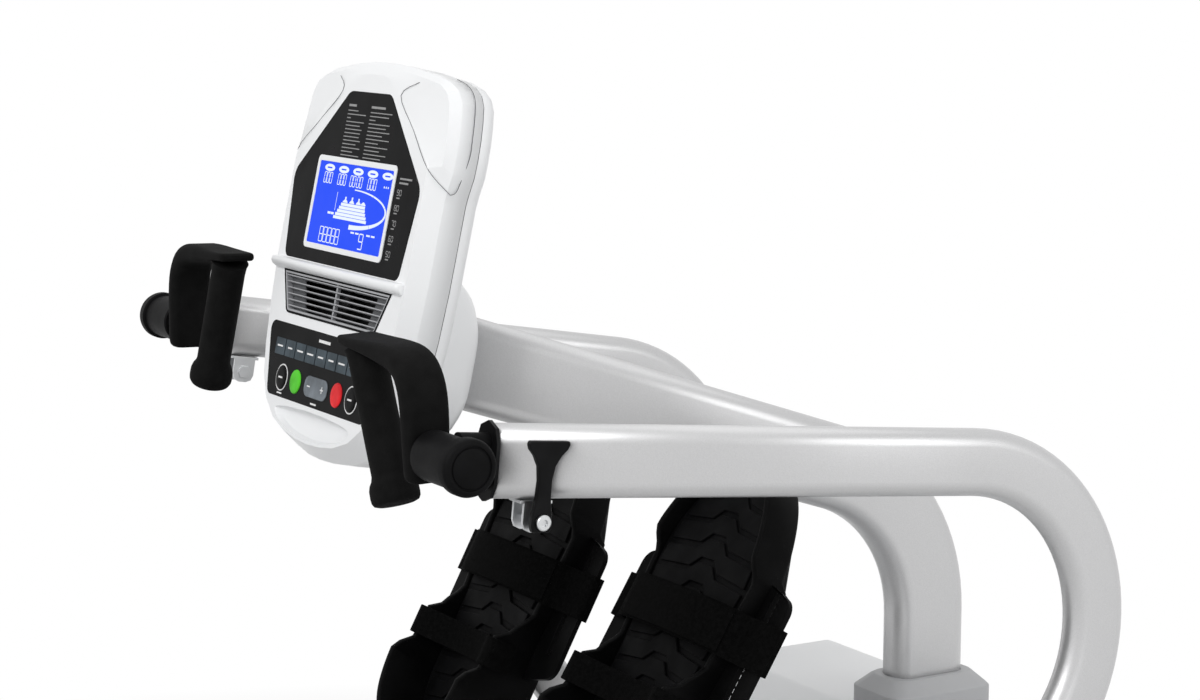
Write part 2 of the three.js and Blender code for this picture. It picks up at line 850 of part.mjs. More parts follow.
// Axle stand: cross tube, four bearing plates and a bridge that holds the rocker pin
function standPlate(y, shaft, top) {
  const base = axle.forward;
  const low = beamTop + fit;
  const outline = rounded([
    [base - stand.foot / 2, low, 0],
    [base + stand.foot / 2, low, 0],
    [base + stand.head / 2, top, stand.corner],
    [base - stand.head / 2, top, stand.corner],
  ]);
  const half = stand.bossWidth / 2;
  const boss = rod('y', [base, axle.height], stand.boss / 2, y - half, y + half);
  return shaped([prism('xz', outline, y - stand.plate / 2, y + stand.plate / 2), boss], [
    bore('y', [base, axle.height], shaft / 2, y - stand.bossWidth, y + stand.bossWidth),
  ]);
}

function standGeometry() {
  const low = beamTop + fit;
  const tube = prism(
    'xz',
    moved(box([-stand.cross / 2, 0], [stand.cross / 2, stand.cross], stand.corner / 2), axle.forward, low),
    -stand.outer,
    stand.outer,
  );
  const bridgeTop = rockerHeight + stand.bridgeRise;
  const bridge = block(
    [axle.forward - stand.head / 4, -stand.inner, bridgeTop - stand.plate],
    [axle.forward + stand.head / 4, stand.inner, bridgeTop],
  );
  const pin = rod('z', [axle.forward, 0], rocker.pin / 2, rockerHeight - rocker.thick, bridgeTop, 12);
  const outerTop = axle.height + stand.boss / 2;
  return shaped([
    tube,
    standPlate(-stand.inner, axle.hub, bridgeTop),
    standPlate(stand.inner, axle.diameter, bridgeTop),
    standPlate(-stand.outer, axle.diameter, outerTop),
    standPlate(stand.outer, axle.hub, outerTop),
    bridge,
    pin,
  ]);
}
piece('axle_stand', 'blackSteel', standGeometry(), stepper);

// Equaliser rocker: a forked bar over the axle that turns the two sides against each other
function rockerGeometry() {
  const half = crank.offset + rocker.fork;
  const outline = rounded([
    [rocker.width / 2, -half, rocker.corner],
    [rocker.width / 2, half, rocker.corner],
    [-rocker.width / 2, half, rocker.corner],
    [-rocker.width / 2, -half, rocker.corner],
  ]);
  const open = crank.ball / 2 + rocker.play;
  const slots = [-1, 1].map((side) => {
    const ends = [side * (crank.offset - rocker.fork), side * (half + overrun)];
    return block([-open, Math.min(...ends), -rocker.thick], [open, Math.max(...ends), rocker.thick]);
  });
  const bar = prism('xy', outline, -rocker.thick / 2, rocker.thick / 2);
  return shaped([bar], [...slots, bore('z', [0, 0], rocker.pin / 2, -rocker.thick, rocker.thick, 12)]);
}
const rockerGroup = new THREE.Group();
rockerGroup.position.set(axle.forward, 0, rockerHeight);
rockerGroup.rotation.z = radians(swing.rockerRatio * swing.restAngle);
stepper.add(rockerGroup);
piece('equaliser_rocker', 'steel', rockerGeometry(), rockerGroup);

// A crank with a ball at its tip, drawn about the axle
function crankGeometry(y) {
  const outline = rounded([
    [-axle.boss / 2 + crank.thick / 2, 0, 0],
    [axle.boss / 2 - crank.thick / 2, 0, 0],
    [crank.tip / 2, crank.radius, crank.tip / 4],
    [-crank.tip / 2, crank.radius, crank.tip / 4],
  ], 2);
  const ball = new THREE.SphereGeometry(crank.ball / 2, 10, 6);
  ball.translate(0, y, crank.radius);
  return shaped([
    prism('xz', outline, y - crank.thick / 2, y + crank.thick / 2),
    rod('y', [0, 0], axle.boss / 2 - crank.thick / 2, y - crank.thick / 2, y + crank.thick / 2),
    ball,
  ]);
}

function sprocketGeometry(y, radius, teeth) {
  const outline = [];
  for (let i = 0; i < teeth; i += 1) {
    toothShares.forEach(([turnShare, depthShare]) => {
      const angle = ((i + turnShare) / teeth) * 2 * Math.PI;
      const reach = radius - depthShare * chain.tooth;
      outline.push([reach * Math.cos(angle), reach * Math.sin(angle)]);
    });
  }
  return prism('xz', outline, y - chain.plate / 2, y + chain.plate / 2);
}

// Cross shaft: carries the right arm, one crank and the left pedal lever
function shaftGeometry() {
  const bossFrom = stand.inner + stand.bossWidth / 2 + slack;
  return shaped([
    rod('y', [0, 0], axle.diameter / 2, -shaftEnd, arm.offset),
    rod('y', [0, 0], arm.boss / 2 - arm.wall, -shaftEnd - cap.lip, -shaftEnd + fit),
    crankGeometry(crank.offset),
    sprocketGeometry(chain.offset, chain.radius, chain.teeth),
    ring('y', [0, 0], axle.boss / 2, axle.diameter / 4, bossFrom, bossFrom + stand.plate),
  ]);
}
piece('cross_shaft', 'steel', shaftGeometry(), swingGroups[0]);

// Hub cradle: joins the left arm and the right pedal lever round the shaft
function cradlePlate(y) {
  const outline = hull(axle.boss / 2, [cradle.radius, 0], cradle.tube / 2 + cradle.margin);
  return prism('xz', outline, y - cradle.plate / 2, y + cradle.plate / 2);
}

function cradleGeometry() {
  const hub = (from, to) => rod('y', [0, 0], axle.hub / 2, from, to);
  const right = shaped([
    hub(-cradle.hubRight, -cradle.hubInner),
    cradlePlate(-cradle.right),
    cradlePlate(cradle.left),
    hub(cradle.left - cradle.plate, hubEnd),
    rod('y', [cradle.radius, 0], cradle.tube / 2, -cradle.right, cradle.left),
    crankGeometry(-crank.offset),
  ], [bore('y', [0, 0], axle.diameter / 2, -cradle.hubRight - overrun, hubEnd + overrun)]);
  return right;
}
piece('hub_cradle', 'blackSteel', cradleGeometry(), swingGroups[1]);

// Drive: chains, clutch shaft, belt, flywheel and brake
function loopOutline(first, second, firstRadius, secondRadius) {
  return hullOf([...circle(firstRadius, 20, first), ...circle(secondRadius, 20, second)]);
}

function chainGeometry() {
  const inner = around(chain.radius + fit, 20);
  const outer = inner + chain.height;
  const [from, to] = [chain.offset - chain.width / 2, chain.offset + chain.width / 2];
  return prism('xz', loopOutline(axleAt, clutchAt, outer, outer), from, to, [
    loopOutline(axleAt, clutchAt, inner, inner),
  ]);
}
piece('drive_chain', 'iron', chainGeometry(), stepper);

function clutchGeometry() {
  const low = -clutch.pulleyAt - clutch.pulleyWidth / 2;
  const high = -clutch.pulleyAt + clutch.pulleyWidth / 2;
  const about = (geometry) => geometry.translate(clutch.forward, 0, axle.height);
  return shaped([
    rod('y', clutchAt, clutch.shaft / 2, low - clutch.collar, chain.offset + clutch.collar),
    rod('y', clutchAt, clutch.radius, low, high, 20),
    about(sprocketGeometry(chain.offset, chain.radius, chain.teeth)),
  ]);
}
piece('clutch_pulley', 'iron', clutchGeometry(), stepper);

function beltGeometry() {
  const [large, small] = [around(clutch.radius + fit, 20), around(flywheel.pulley + fit, 20)];
  return prism(
    'xz',
    loopOutline(clutchAt, wheelAt, large + belt.height, small + belt.height),
    -clutch.pulleyAt - belt.width / 2,
    -clutch.pulleyAt + belt.width / 2,
    [loopOutline(clutchAt, wheelAt, large, small)],
  );
}
piece('drive_belt', 'rubber', beltGeometry(), stepper);

function flywheelGeometry() {
  const disc = flywheel.disc;
  const middle = -flywheel.offset;
  return shaped([
    rod('y', wheelAt, flywheel.shaft / 2, middle - disc, mast.wheelBearingWidth / 2 + clutch.collar),
    rod('y', wheelAt, flywheel.radius, middle - disc / 2, middle + disc / 2, 20),
    rod('y', wheelAt, flywheel.pulley, middle, -clutch.pulleyAt + clutch.pulleyWidth / 2),
  ], [ring(
    'y',
    wheelAt,
    flywheel.radius - flywheel.rim,
    flywheel.pulley + flywheel.rim,
    middle - disc,
    middle - disc / 2 + disc / 4,
    24,
  )]);
}
piece('flywheel', 'iron', flywheelGeometry(), stepper);

// Shroud: two moulded halves that meet in the middle plane
const shroudProfile = [
  [shroud.rear, shroud.bottom, 0],
  [shroud.front - shroud.noseInset, shroud.bottom, 0],
  [shroud.front - shroud.noseInset, shroud.noseLow, shroud.corner],
  [shroud.front, shroud.nose, shroud.corner],
  [shroud.front - shroud.brow, shroud.browHeight, shroud.corner],
  [boot.length / 2 + mast.forward + shroud.shelf, shroudTop, shroud.corner],
  [mast.forward - boot.length / 2 - shroud.shelf, shroudTop, shroud.corner],
  [shroud.kneeForward, shroud.kneeHeight, shroud.corner],
  [shroud.rear + shroud.step, shroud.stepHeight, shroud.corner],
  [shroud.rear, shroud.shoulder, shroud.corner],
];

function shroudGeometry() {
  const outer = rounded(shroudProfile, 5);
  const wall = shroud.wall;
  const openBelow = shroud.bottom + 2 * wall;
  const inner = offsetOutline(outer, -wall).map(([x, z]) => [x, z < openBelow ? z - overrun * 2 : z]);
  const slotArc = [];
  const [slotInner, slotOuter] = [axle.boss / 2, shroud.slotReach];
  for (let i = 0; i <= 8; i += 1) {
    const angle = radians(shroud.slotFrom + ((shroud.slotTo - shroud.slotFrom) * i) / 8);
    slotArc.push([axle.forward + slotOuter * Math.cos(angle), axle.height + slotOuter * Math.sin(angle)]);
  }
  slotArc.push([
    axle.forward + slotInner * Math.cos(radians(shroud.slotTo)),
    axle.height + slotInner * Math.sin(radians(shroud.slotTo)),
  ], [
    axle.forward + slotInner * Math.cos(radians(shroud.slotFrom)),
    axle.height + slotInner * Math.sin(radians(shroud.slotFrom)),
  ]);
  const half = pedalLever.width / 2 + shroud.slotMargin;
  const hole = rectangle(mast.height + 2 * slack, mast.width + 2 * slack, mast.corner);
  return shaped([prism('xz', outer, fit / 2, shroud.half)], [
    prism('xz', inner, -overrun, shroud.half - wall),
    block(
      [shroud.rear - overrun, -overrun, shroud.bottom - overrun],
      [shroud.front + overrun, beam.width / 2 + slack, beamTop + slack],
    ),
    prism('xy', moved(hole, mast.forward, 0), shroudTop - shroud.corner, shroudTop + overrun),
    prism('xz', slotArc, pedal.offset - half, pedal.offset + half),
    rod('y', axleAt, axle.hub / 2 + slack, shroud.half - wall - overrun, shroud.half + overrun, 20),
  ]);
}
piece('shroud_left', 'white', shroudGeometry(), stepper);
piece('shroud_right', 'white', mirrored(shroudGeometry()), stepper);

// What each arm carries is drawn about the open end of its tube: x runs to the front along the tube.
const armEnd = armRoute[armRoute.length - 1];

// Puts a geometry drawn with x towards the front and z up at the arm's end.
function atArmEnd(geometry) {
  geometry.rotateY(radians(180 - armEnd.heading));
  geometry.translate(armEnd.x, arm.offset, armEnd.z);
  return geometry;
}

function bushGeometry() {
  const outer = tubeSection(arm, arm.wall + fit);
  const rim = tubeSection(arm, -bush.lip / 2);
  const mouth = rectangle(stem.width + 2 * fit, stem.height + 2 * fit, stem.corner);
  return shaped([
    prism('yz', outer, -bush.flange / 2, bush.depth),
    prism('yz', rim, -bush.flange, -fit),
  ], [prism('yz', mouth, -bush.flange - overrun, bush.depth + overrun)]);
}

function stemGeometry() {
  const bar = prism('yz', rectangle(stem.width, stem.height, stem.corner), -hub.back, stem.depth);
  const barrel = rod('y', [-hub.back, 0], hub.radius, -hub.inner, hub.outer - hub.capLength, 20);
  const lid = turned('y', [-hub.back, 0, 0], [
    [0, hub.outer - hub.capLength - fit],
    [hub.capRadius, hub.outer - hub.capLength - fit],
    [hub.capRadius, hub.outer - hub.capLength / 4],
    [hub.capRadius - hub.capLength / 4, hub.outer],
    [0, hub.outer],
  ]);
  const journal = rod('y', [-hub.back, 0], hub.journal, -hub.inner - hook.thick, -hub.inner + overrun, 20);
  return shaped([bar, barrel, lid, journal]);
}

// The hook: a flat bar from the barrel over to the grip, and the leaning grip under its end
function hookGeometry() {
  const barMiddle = hook.bar - arm.offset - hook.thick;
  const outside = barMiddle + hook.thick / 2;
  const inside = barMiddle - hook.thick / 2;
  const gripTop = hook.grip - arm.offset;
  const end = gripTop - hook.gripRadius * hookShares.overhang;
  const outline = rounded([
    [outside, -hook.foot, 0],
    [outside, hook.rise, hook.round + hook.thick],
    [gripTop, hook.rise + hook.topDrop / 2, hook.round],
    [end, hook.rise - hook.topDrop / 2, hook.thick / 3],
    [end, hook.rise - hook.topDrop / 2 - hook.thick, hook.thick / 3],
    [inside, hook.rise - hook.thick, hook.round],
    [inside, -hook.foot, 0],
  ]);
  const side = hull(hook.foot, [-hub.back, hook.rise + hook.thick], hook.width / 2, [-hub.back, 0], 20);
  const bar = shared(
    prism('yz', outline, -hub.back - hook.foot, -hub.back + hook.foot),
    prism('xz', side, end - overrun, outside + overrun),
  );
  const lean = Math.atan2(hook.gripBottom - hook.grip, hook.rise + hook.drop);
  const length = (hook.rise + hook.drop) / Math.cos(lean);
  const grip = turned('z', [0, 0, 0], [
    [0, 0],
    [hook.flareRadius - hook.thick / 4, 0],
    [hook.flareRadius, hook.thick / 4],
    [hook.flareRadius, hook.flare - hook.thick / 2],
    [hook.gripRadius, hook.flare],
    [hook.gripRadius, length - hook.thick / 2],
    [0, length - hook.thick / 2],
  ], 16);
  grip.rotateX(lean);
  grip.translate(-hub.back, hook.gripBottom - arm.offset, -hook.drop);
  const hole = bore('y', [-hub.back, 0], hub.journal, inside - overrun, outside + overrun, 20);
  const hookSolid = shaped([bar, grip], [hole]);
  hookSolid.translate(hub.back, 0, 0);
  hookSolid.rotateY(radians(-arm.fallAngle));
  return hookSolid.translate(-hub.back, 0, 0);
}

// Cam clamp: bracket under the tube with its screw, and the lever on the outer face
function clampGeometry() {
  const under = -arm.height / 2 - fit;
  const [from, to] = [clamp.ahead - clamp.length / 2, clamp.ahead + clamp.length / 2];
  const half = clamp.width / 2;
  const saddle = block([clamp.ahead - clamp.saddle / 2, -half, under - clamp.plate], [
    clamp.ahead + clamp.saddle / 2, half, under]);
  const cheek = (y) => prism('xz', rounded([
    [from, under, 0],
    [to, under, 0],
    [to, under - clamp.drop, clamp.length / 3],
    [from, under - clamp.drop, clamp.length / 3],
  ].reverse()), y, y + clamp.plate);
  const pinAt = [clamp.ahead, under - clamp.drop + clamp.pinDrop];
  const outer = arm.width / 2 + fit + clamp.leverThick;
  return shaped([
    saddle,
    cheek(-half),
    cheek(half - clamp.plate),
    rod('y', pinAt, clamp.pin / 2, -half - clamp.plate, outer, 12),
    rod('y', pinAt, clamp.pin, -half - clamp.plate, -half, 6),
  ]);
}

function clampLeverGeometry() {
  const under = -arm.height / 2 - fit;
  const low = under - clamp.drop + clamp.pinDrop;
  const inner = arm.width / 2 + fit;
  const neck = low + clamp.leverRise * clampShares.neck;
  const outline = rounded([
    [clamp.ahead - clamp.leverFoot / 2, low - clamp.leverFoot / 2, clamp.leverFoot / 3],
    [clamp.ahead + clamp.leverFoot / 2, low - clamp.leverFoot / 2, clamp.leverFoot / 3],
    [clamp.ahead + clamp.leverNeck / 2, neck, clamp.leverFoot],
    [clamp.ahead + clamp.leverHead / 2, low + clamp.leverRise, clamp.leverThick],
    [clamp.ahead - clamp.leverHead / 2, low + clamp.leverRise, clamp.leverThick],
    [clamp.ahead - clamp.leverNeck / 2, neck, clamp.leverFoot],
  ]);
  const pinAt = [clamp.ahead, low];
  return shaped([prism('xz', outline, inner, inner + clamp.leverThick)], [
    bore('y', pinAt, clamp.pin / 2, inner - overrun, inner + clamp.leverThick + overrun, 12),
  ]);
}

// Pedal levers, drawn about the axle
const leverRoute = route([0, 0], pedalLever.startAngle, [
  { straight: pedalLever.first },
  { radius: pedalLever.bend, turn: pedalLever.endAngle - pedalLever.startAngle },
  { straight: pedalLever.second - pedalLever.plate },
]);

// Puts a geometry drawn on the foot's own lines, x to the toe and z out of the sole, in its place.
function onPedal(geometry, side) {
  geometry.rotateY(radians(-pedal.slope));
  geometry.translate(-pedal.back, side * pedal.offset, pedal.rise);
  return geometry;
}

function pedalLeverGeometry(shaft, side) {
  const y = side * pedal.offset;
  const tube = bentTube(leverRoute, pedalLever, y);
  const top = -pedal.depth - fit;
  const plate = onPedal(prism(
    'xy',
    rectangle(pedalLever.plateLength, pedalLever.plateWidth, pedalLever.corner * 2),
    top - pedalLever.plate,
    top,
  ), side);
  const from = y - pedalLever.boss / 2;
  const to = y + pedalLever.boss / 2;
  const inside = rod('y', [0, 0], shaft / 2 + fit, from - overrun, to + overrun);
  const trim = onPedal(prism(
    'xy',
    rectangle(pedalLever.plateLength, pedalLever.plateWidth),
    top,
    top + pedalLever.height,
  ), side);
  return shaped([tube, rod('y', [0, 0], axle.boss / 2, from, to), plate], [inside, trim]);
}

// Foot outline, grown by a distance
function footOutline(grown = 0) {
  const reach = pedal.heel + pedal.toe;
  const half = footShares.map(([alongShare, acrossShare]) => [
    -pedal.heel + alongShare * reach,
    -acrossShare * pedal.halfWidth,
  ]);
  const other = half.map(([s, y]) => [s, -y]).reverse();
  const curve = new THREE.CatmullRomCurve3(
    [...half, ...other].map(([s, y]) => new THREE.Vector3(s, y, 0)),
    true,
    'centripetal',
  );
  const points = curve.getPoints(30).slice(0, -1).map(({ x, y }) => [x, y]);
  return grown ? offsetOutline(points, grown) : points;
}

// What the shell's rim leaves away: everything above this line
function rimOutline() {
  const high = pedal.heelRim + 2 * overrun;
  const [heel, toe] = [-pedal.heel - pedal.wall - overrun, pedal.toe + pedal.wall + overrun];
  return [
    [heel, high],
    [heel, pedal.heelRim],
    [flange.from - pedal.wall * 3, pedal.heelRim],
    [flange.from, pedal.cupRim],
    [heelStrap.to, pedal.cupRim],
    [heelStrap.to + pedal.wall * 2, pedal.toeRim],
    [toeStrap.from - pedal.wall * 2, pedal.sideRim],
    [toeStrap.to + toeStrap.from, pedal.sideRim],
    [toeStrap.to + toeStrap.from * 2, pedal.toeRim],
    [toe, pedal.toeRim],
    [toe, high],
  ].reverse();
}

// One flange with its toothed slot
function flangeGeometry(side) {
  const inner = pedal.halfWidth * flangeShares.inner;
  const outline = rounded([
    [flange.from, side * inner, 0],
    [flange.to, side * inner, 0],
    [flange.to - flange.corner, side * flange.reach, flange.corner],
    [flange.from + flange.corner, side * flange.reach, flange.corner],
  ]);
  if (side < 0) outline.reverse();
  const hole = [];
  const teeth = Math.round((flange.slotTo - flange.slotFrom) / slot.pitch);
  const near = side * (slot.offset - slot.half);
  const far = side * (slot.offset + slot.half);
  hole.push([flange.slotFrom, near], [flange.slotTo, near], [flange.slotTo, far]);
  for (let i = teeth - 1; i >= 0; i -= 1) {
    const s = flange.slotFrom + i * slot.pitch;
    const [last, falling, rising, first] = slotShares.map((share) => s + slot.pitch * share);
    hole.push([last, far], [falling, far - side * slot.tooth]);
    hole.push([rising, far - side * slot.tooth], [first, far]);
  }
  return shaped([prism('xy', outline, flange.top - flange.thick, flange.top)], [
    prism('xy', side < 0 ? hole.reverse() : hole, flange.top - flange.thick - overrun, flange.top + overrun),
  ]);
}

function shellGeometry() {
  const outer = footOutline(pedal.wall);
  const high = pedal.heelRim + overrun;
  const reach = pedal.toe + pedal.wall + overrun;
  const across = pedal.halfWidth + pedal.wall + overrun;
  const cavity = prism('xy', footOutline(), -pedal.floor, high + overrun);
  const body = shaped([prism('xy', outer, -pedal.depth, high)], [
    block([pedal.stepAt, -across, -pedal.depth - overrun], [reach, across, -pedal.shallow]),
    prism('xz', rimOutline(), -across, across),
  ]);
  return shaped([body, flangeGeometry(-1), flangeGeometry(1)], [cavity]);
}

// Footbed with its row of chevron ridges
function footbedGeometry() {
  const mat = prism('xy', footOutline(-slack / 2), -pedal.floor + fit, -pedal.floor + fit + footbed.thick);
  const top = -pedal.floor + fit + footbed.thick;
  const ridges = [];
  for (let i = 0; i < footbed.count; i += 1) {
    const s = footbed.first + (i + 1) * footbed.pitch;
    const half = pedal.halfWidth * ridgeShares.half;
    const peak = s;
    const foot = s - footbed.drop;
    const outline = [
      [foot, -half],
      [peak, footbed.peak - footbed.drop],
      [peak, footbed.peak + footbed.drop / 2],
      [foot, half],
      [foot - footbed.bar, half],
      [peak - footbed.bar, footbed.peak + footbed.drop / 2 - footbed.bar / 3],
      [peak - footbed.bar, footbed.peak - footbed.drop + footbed.bar / 3],
      [foot - footbed.bar, -half],
    ];
    ridges.push(prism('xy', outline, top - footbed.ridge / 2, top + footbed.ridge));
  }
  return shaped([mat, ...ridges]);
}

// A band that follows a line in the plane across the foot
function bandGeometry(line, thick, from, to) {
  const outer = offsetLine(line, thick / 2);
  const inner = offsetLine(line, -thick / 2).reverse();
  return prism('yz', [...outer, ...inner], from, to);
}

function offsetLine(line, distance) {
  return line.map((point, i) => {
    const before = new THREE.Vector2(...line[Math.max(i - 1, 0)]);
    const after = new THREE.Vector2(...line[Math.min(i + 1, line.length - 1)]);
    const along = after.sub(before).normalize();
    return [point[0] - distance * along.y, point[1] + distance * along.x];
  });
}

function smoothLine(points, steps) {
  const places = points.map(([a, b]) => new THREE.Vector3(a, b, 0));
  const curve = new THREE.CatmullRomCurve3(places, false, 'centripetal');
  return curve.getPoints(steps).map(({ x, y }) => [x, y]);
}

function toeStrapGeometry() {
  const edge = flange.reach + toeStrap.thick;
  const shoulder = pedal.halfWidth + pedal.wall + toeStrap.thick;
  const half = [
    [slot.offset, flange.top - flange.thick - toeStrap.thick],
    [edge - toeStrap.thick, flange.top - flange.thick - toeStrap.thick],
    [edge, flange.top - flange.thick / 2],
    [edge - toeStrap.thick, flange.top + toeStrap.thick],
    [shoulder + slot.half, flange.top + toeStrap.thick * 3],
    [shoulder - pedal.wall, pedal.sideRim + toeStrap.thick * 2],
    [shoulder * toeStrapShares.sideAcross, toeStrap.rise * toeStrapShares.sideRise],
  ];
  const line = smoothLine([
    ...half,
    [0, toeStrap.rise],
    ...half.map(([y, h]) => [-y, h]).reverse(),
  ], 30);
  return bandGeometry(line, toeStrap.thick, toeStrap.from, toeStrap.to);
}

function heelStrapGeometry() {
  const outside = pedal.halfWidth * heelStrapShares.cup + pedal.wall + heelStrap.thick;
  const half = [
    [outside + slack, pedal.cupRim - heelStrap.hang],
    [outside + slack, pedal.cupRim - heelStrap.thick],
    [outside - pedal.wall / 2, pedal.cupRim + heelStrap.thick * heelStrapShares.lip],
    [outside - pedal.wall * 2, pedal.cupRim + heelStrap.thick / 2],
    [outside * heelStrapShares.middleAcross, heelStrap.dip * heelStrapShares.middleDip],
  ];
  const line = smoothLine([...half, [0, heelStrap.dip], ...half.map(([y, h]) => [-y, h]).reverse()], 26);
  return bandGeometry(line, heelStrap.thick, heelStrap.from, heelStrap.to);
}

sides.forEach(([name, side], i) => {
  const group = swingGroups[i];
  const put = (part, finish, geometry) => {
    piece(`${name}_${part}`, finish, side < 0 ? mirrored(geometry) : geometry, group);
  };
  put('arm_bush', 'black', atArmEnd(bushGeometry()));
  put('handle_stem', 'black', atArmEnd(stemGeometry()));
  put('handle_grip', 'rubber', atArmEnd(hookGeometry()));
  put('clamp_bracket', 'zinc', atArmEnd(clampGeometry()));
  put('clamp_lever', 'black', atArmEnd(clampLeverGeometry()));
});

// The right arm drives the left pedal, and the left arm the right one.
sides.forEach(([name, side], i) => {
  const group = swingGroups[1 - i];
  const shaft = side > 0 ? axle.diameter : axle.hub;
  piece(`${name}_pedal_lever`, 'silver', pedalLeverGeometry(shaft, side), group);
  piece(`${name}_pedal_shell`, 'black', onPedal(shellGeometry(), side), group);
  piece(`${name}_footbed`, 'rubber', onPedal(footbedGeometry(), side), group);
  piece(`${name}_toe_strap`, 'fabric', onPedal(toeStrapGeometry(), side), group);
  piece(`${name}_heel_strap`, 'fabric', onPedal(heelStrapGeometry(), side), group);
});

// Console group: its own axes lie in the tilted face
const consoleGroup = new THREE.Group();
const faceUp = new THREE.Vector3(Math.sin(radians(face.tiltAngle)), 0, Math.cos(radians(face.tiltAngle)));
const faceRight = new THREE.Vector3(0, -1, 0);
consoleGroup.applyMatrix4(new THREE.Matrix4().makeBasis(faceRight, faceUp, faceRight.clone().cross(faceUp)));
consoleGroup.position.set(face.forward, 0, face.height);
consoleGroup.updateMatrixWorld(true);
stepper.add(consoleGroup);

// Points round the console: front place and full place of each, grown inwards by a distance
function consolePoints() {
  const table = consoleTable;
  const upper = consoleShares.map(([fx, fy, x, y]) => (
    [fx * table.halfWidth, fy * table.top, x * table.halfWidth, y * table.top]
  ));
  const lower = consoleFootShares.map(([fx, fy, x, y]) => (
    [fx * table.halfWidth, fy * table.bottom, x * table.halfWidth, y * table.bottom]
  ));
  const right = [...upper, ...lower];
  const left = right.slice(1, -1).map(([fx, fy, x, y]) => [-fx, fy, -x, y]).reverse();
  return [...right, ...left].reverse();
}

const consoleFront = consolePoints().map(([fx, fy]) => [fx, fy]);
const consoleFull = consolePoints().map(([, , x, y]) => [x, y]);

function ringOf(points, z) {
  return points.map(([x, y], i) => new THREE.Vector3(x, y, typeof z === 'function' ? z(points[i]) : z));
}

// How far behind the face the full outline starts: deep on the sloping upper corners
function sideDepth([x, y]) {
  const corner = Math.abs(x) > bezel.halfTop && y > shell.facetFrom;
  return corner ? -shell.facet : -shell.side;
}

function frontSkin(inset) {
  const shrink = (points) => (inset ? offsetOutline(points, -inset) : points);
  const front = inset ? -face.front : 0;
  const depth = (point) => Math.min(sideDepth(point), front - shell.side / 2);
  const full = shrink(consoleFull);
  const seam = -shell.seam - (inset ? overrun : 0);
  return loft([
    ringOf(shrink(consoleFront), front),
    full.map(([x, y], i) => new THREE.Vector3(x, y, depth(consoleFull[i]))),
    ringOf(full, seam),
  ]);
}

const fanOutline = [
  [-fan.halfBottom, fan.bottom, fan.corner],
  [fan.halfBottom, fan.bottom, fan.corner],
  [fan.halfTop, fan.top, 0],
  [-fan.halfTop, fan.top, 0],
];
const keypadOutline = [
  [-keypad.halfBottom, keypad.bottom, keypad.corner],
  [keypad.halfBottom, keypad.bottom, keypad.corner],
  [keypad.halfTop, keypad.top, keypad.corner],
  [-keypad.halfTop, keypad.top, keypad.corner],
];
const bezelOutline = [
  [-bezel.halfBottom, bezel.bottom, keypad.corner],
  [bezel.halfBottom, bezel.bottom, keypad.corner],
  [bezel.halfShoulder, bezel.shoulder, keypad.corner * 2],
  [bezel.halfTop, bezel.top, keypad.corner * 2],
  [-bezel.halfTop, bezel.top, keypad.corner * 2],
  [-bezel.halfShoulder, bezel.shoulder, keypad.corner * 2],
];

const roundPlaces = Object.values(buttonPlaces);
const levelOutline = rectangle(2 * level.halfWidth, 2 * level.halfHeight, level.corner);

function buttonHoles(from, to, extra) {
  const grown = 1 + extra / level.halfHeight;
  const grownLevel = levelOutline.map(([x, y]) => [x + Math.sign(x) * extra, y * grown]);
  return [
    ...roundPlaces.map((x) => rod('z', [x, button.row], button.radius + extra, from, to, 12)),
    prism('xy', moved(grownLevel, 0, button.row), from, to),
  ];
}

function consoleFrontGeometry() {
  const inner = frontSkin(face.wall);
  const shelf = loft([-ledge.halfWidth, ledge.halfWidth].map((x) => [
    new THREE.Vector3(x, ledge.bottom + fit * 2, -face.wall),
    new THREE.Vector3(x, ledge.bottom + fit * 2 - ledge.droop / 2, ledge.out),
    new THREE.Vector3(x, ledge.top - ledge.droop, ledge.out),
    new THREE.Vector3(x, ledge.top, -face.wall),
  ]));
  const bowl = new THREE.SphereGeometry(1, 12, 6);
  const scoopHalf = (scoop.top - scoop.bottom) / 2;
  bowl.scale(scoop.halfWidth, scoopHalf, scoop.depth);
  bowl.translate(0, (scoop.top + scoop.bottom) / 2, 0);
  const dish = new THREE.SphereGeometry(1, 12, 6);
  dish.scale(scoop.halfWidth + face.wall, scoopHalf + face.wall, scoop.depth + face.wall);
  dish.translate(0, (scoop.top + scoop.bottom) / 2, 0);
  const outside = 4 * scoop.halfWidth;
  const back = prism('xy', rectangle(outside, outside), -face.wall / 2, scoop.halfWidth);
  const recess = -bezel.thick - fit;
  const plain = shaped([frontSkin(0)], [inner]);
  const withDish = shaped([plain, shelf, shaped([dish], [back])]);
  return shaped([withDish], [
    bowl,
    prism('xy', offsetOutline(rounded(bezelOutline), fit), recess, overrun),
    prism('xy', offsetOutline(rounded(keypadOutline), fit), recess, overrun),
    prism('xy', offsetOutline(rounded(fanOutline), fit), -fan.thick * 2, overrun),
    ...buttonHoles(-fan.thick * 2, overrun, button.flange / 2),
  ]);
}
piece('console_front', 'white', consoleFrontGeometry(), consoleGroup);

// Rear shell: crowned back and the lobe that grips the mast
function rearSkin(inset) {
  const rim = inset ? offsetOutline(consoleFull, -inset) : consoleFull;
  const seam = -shell.seam - fit + (inset ? overrun : 0);
  return loft([
    ringOf(rim, seam),
    ringOf(rim, -shell.rearSide + inset / 2),
    ringOf(offsetOutline(consoleFull, -shell.crown / 3 - inset), -shell.rearDepth + shell.crown / 6 + inset),
    ringOf(offsetOutline(consoleFull, -shell.crown - inset), -shell.rearDepth + inset),
  ]);
}

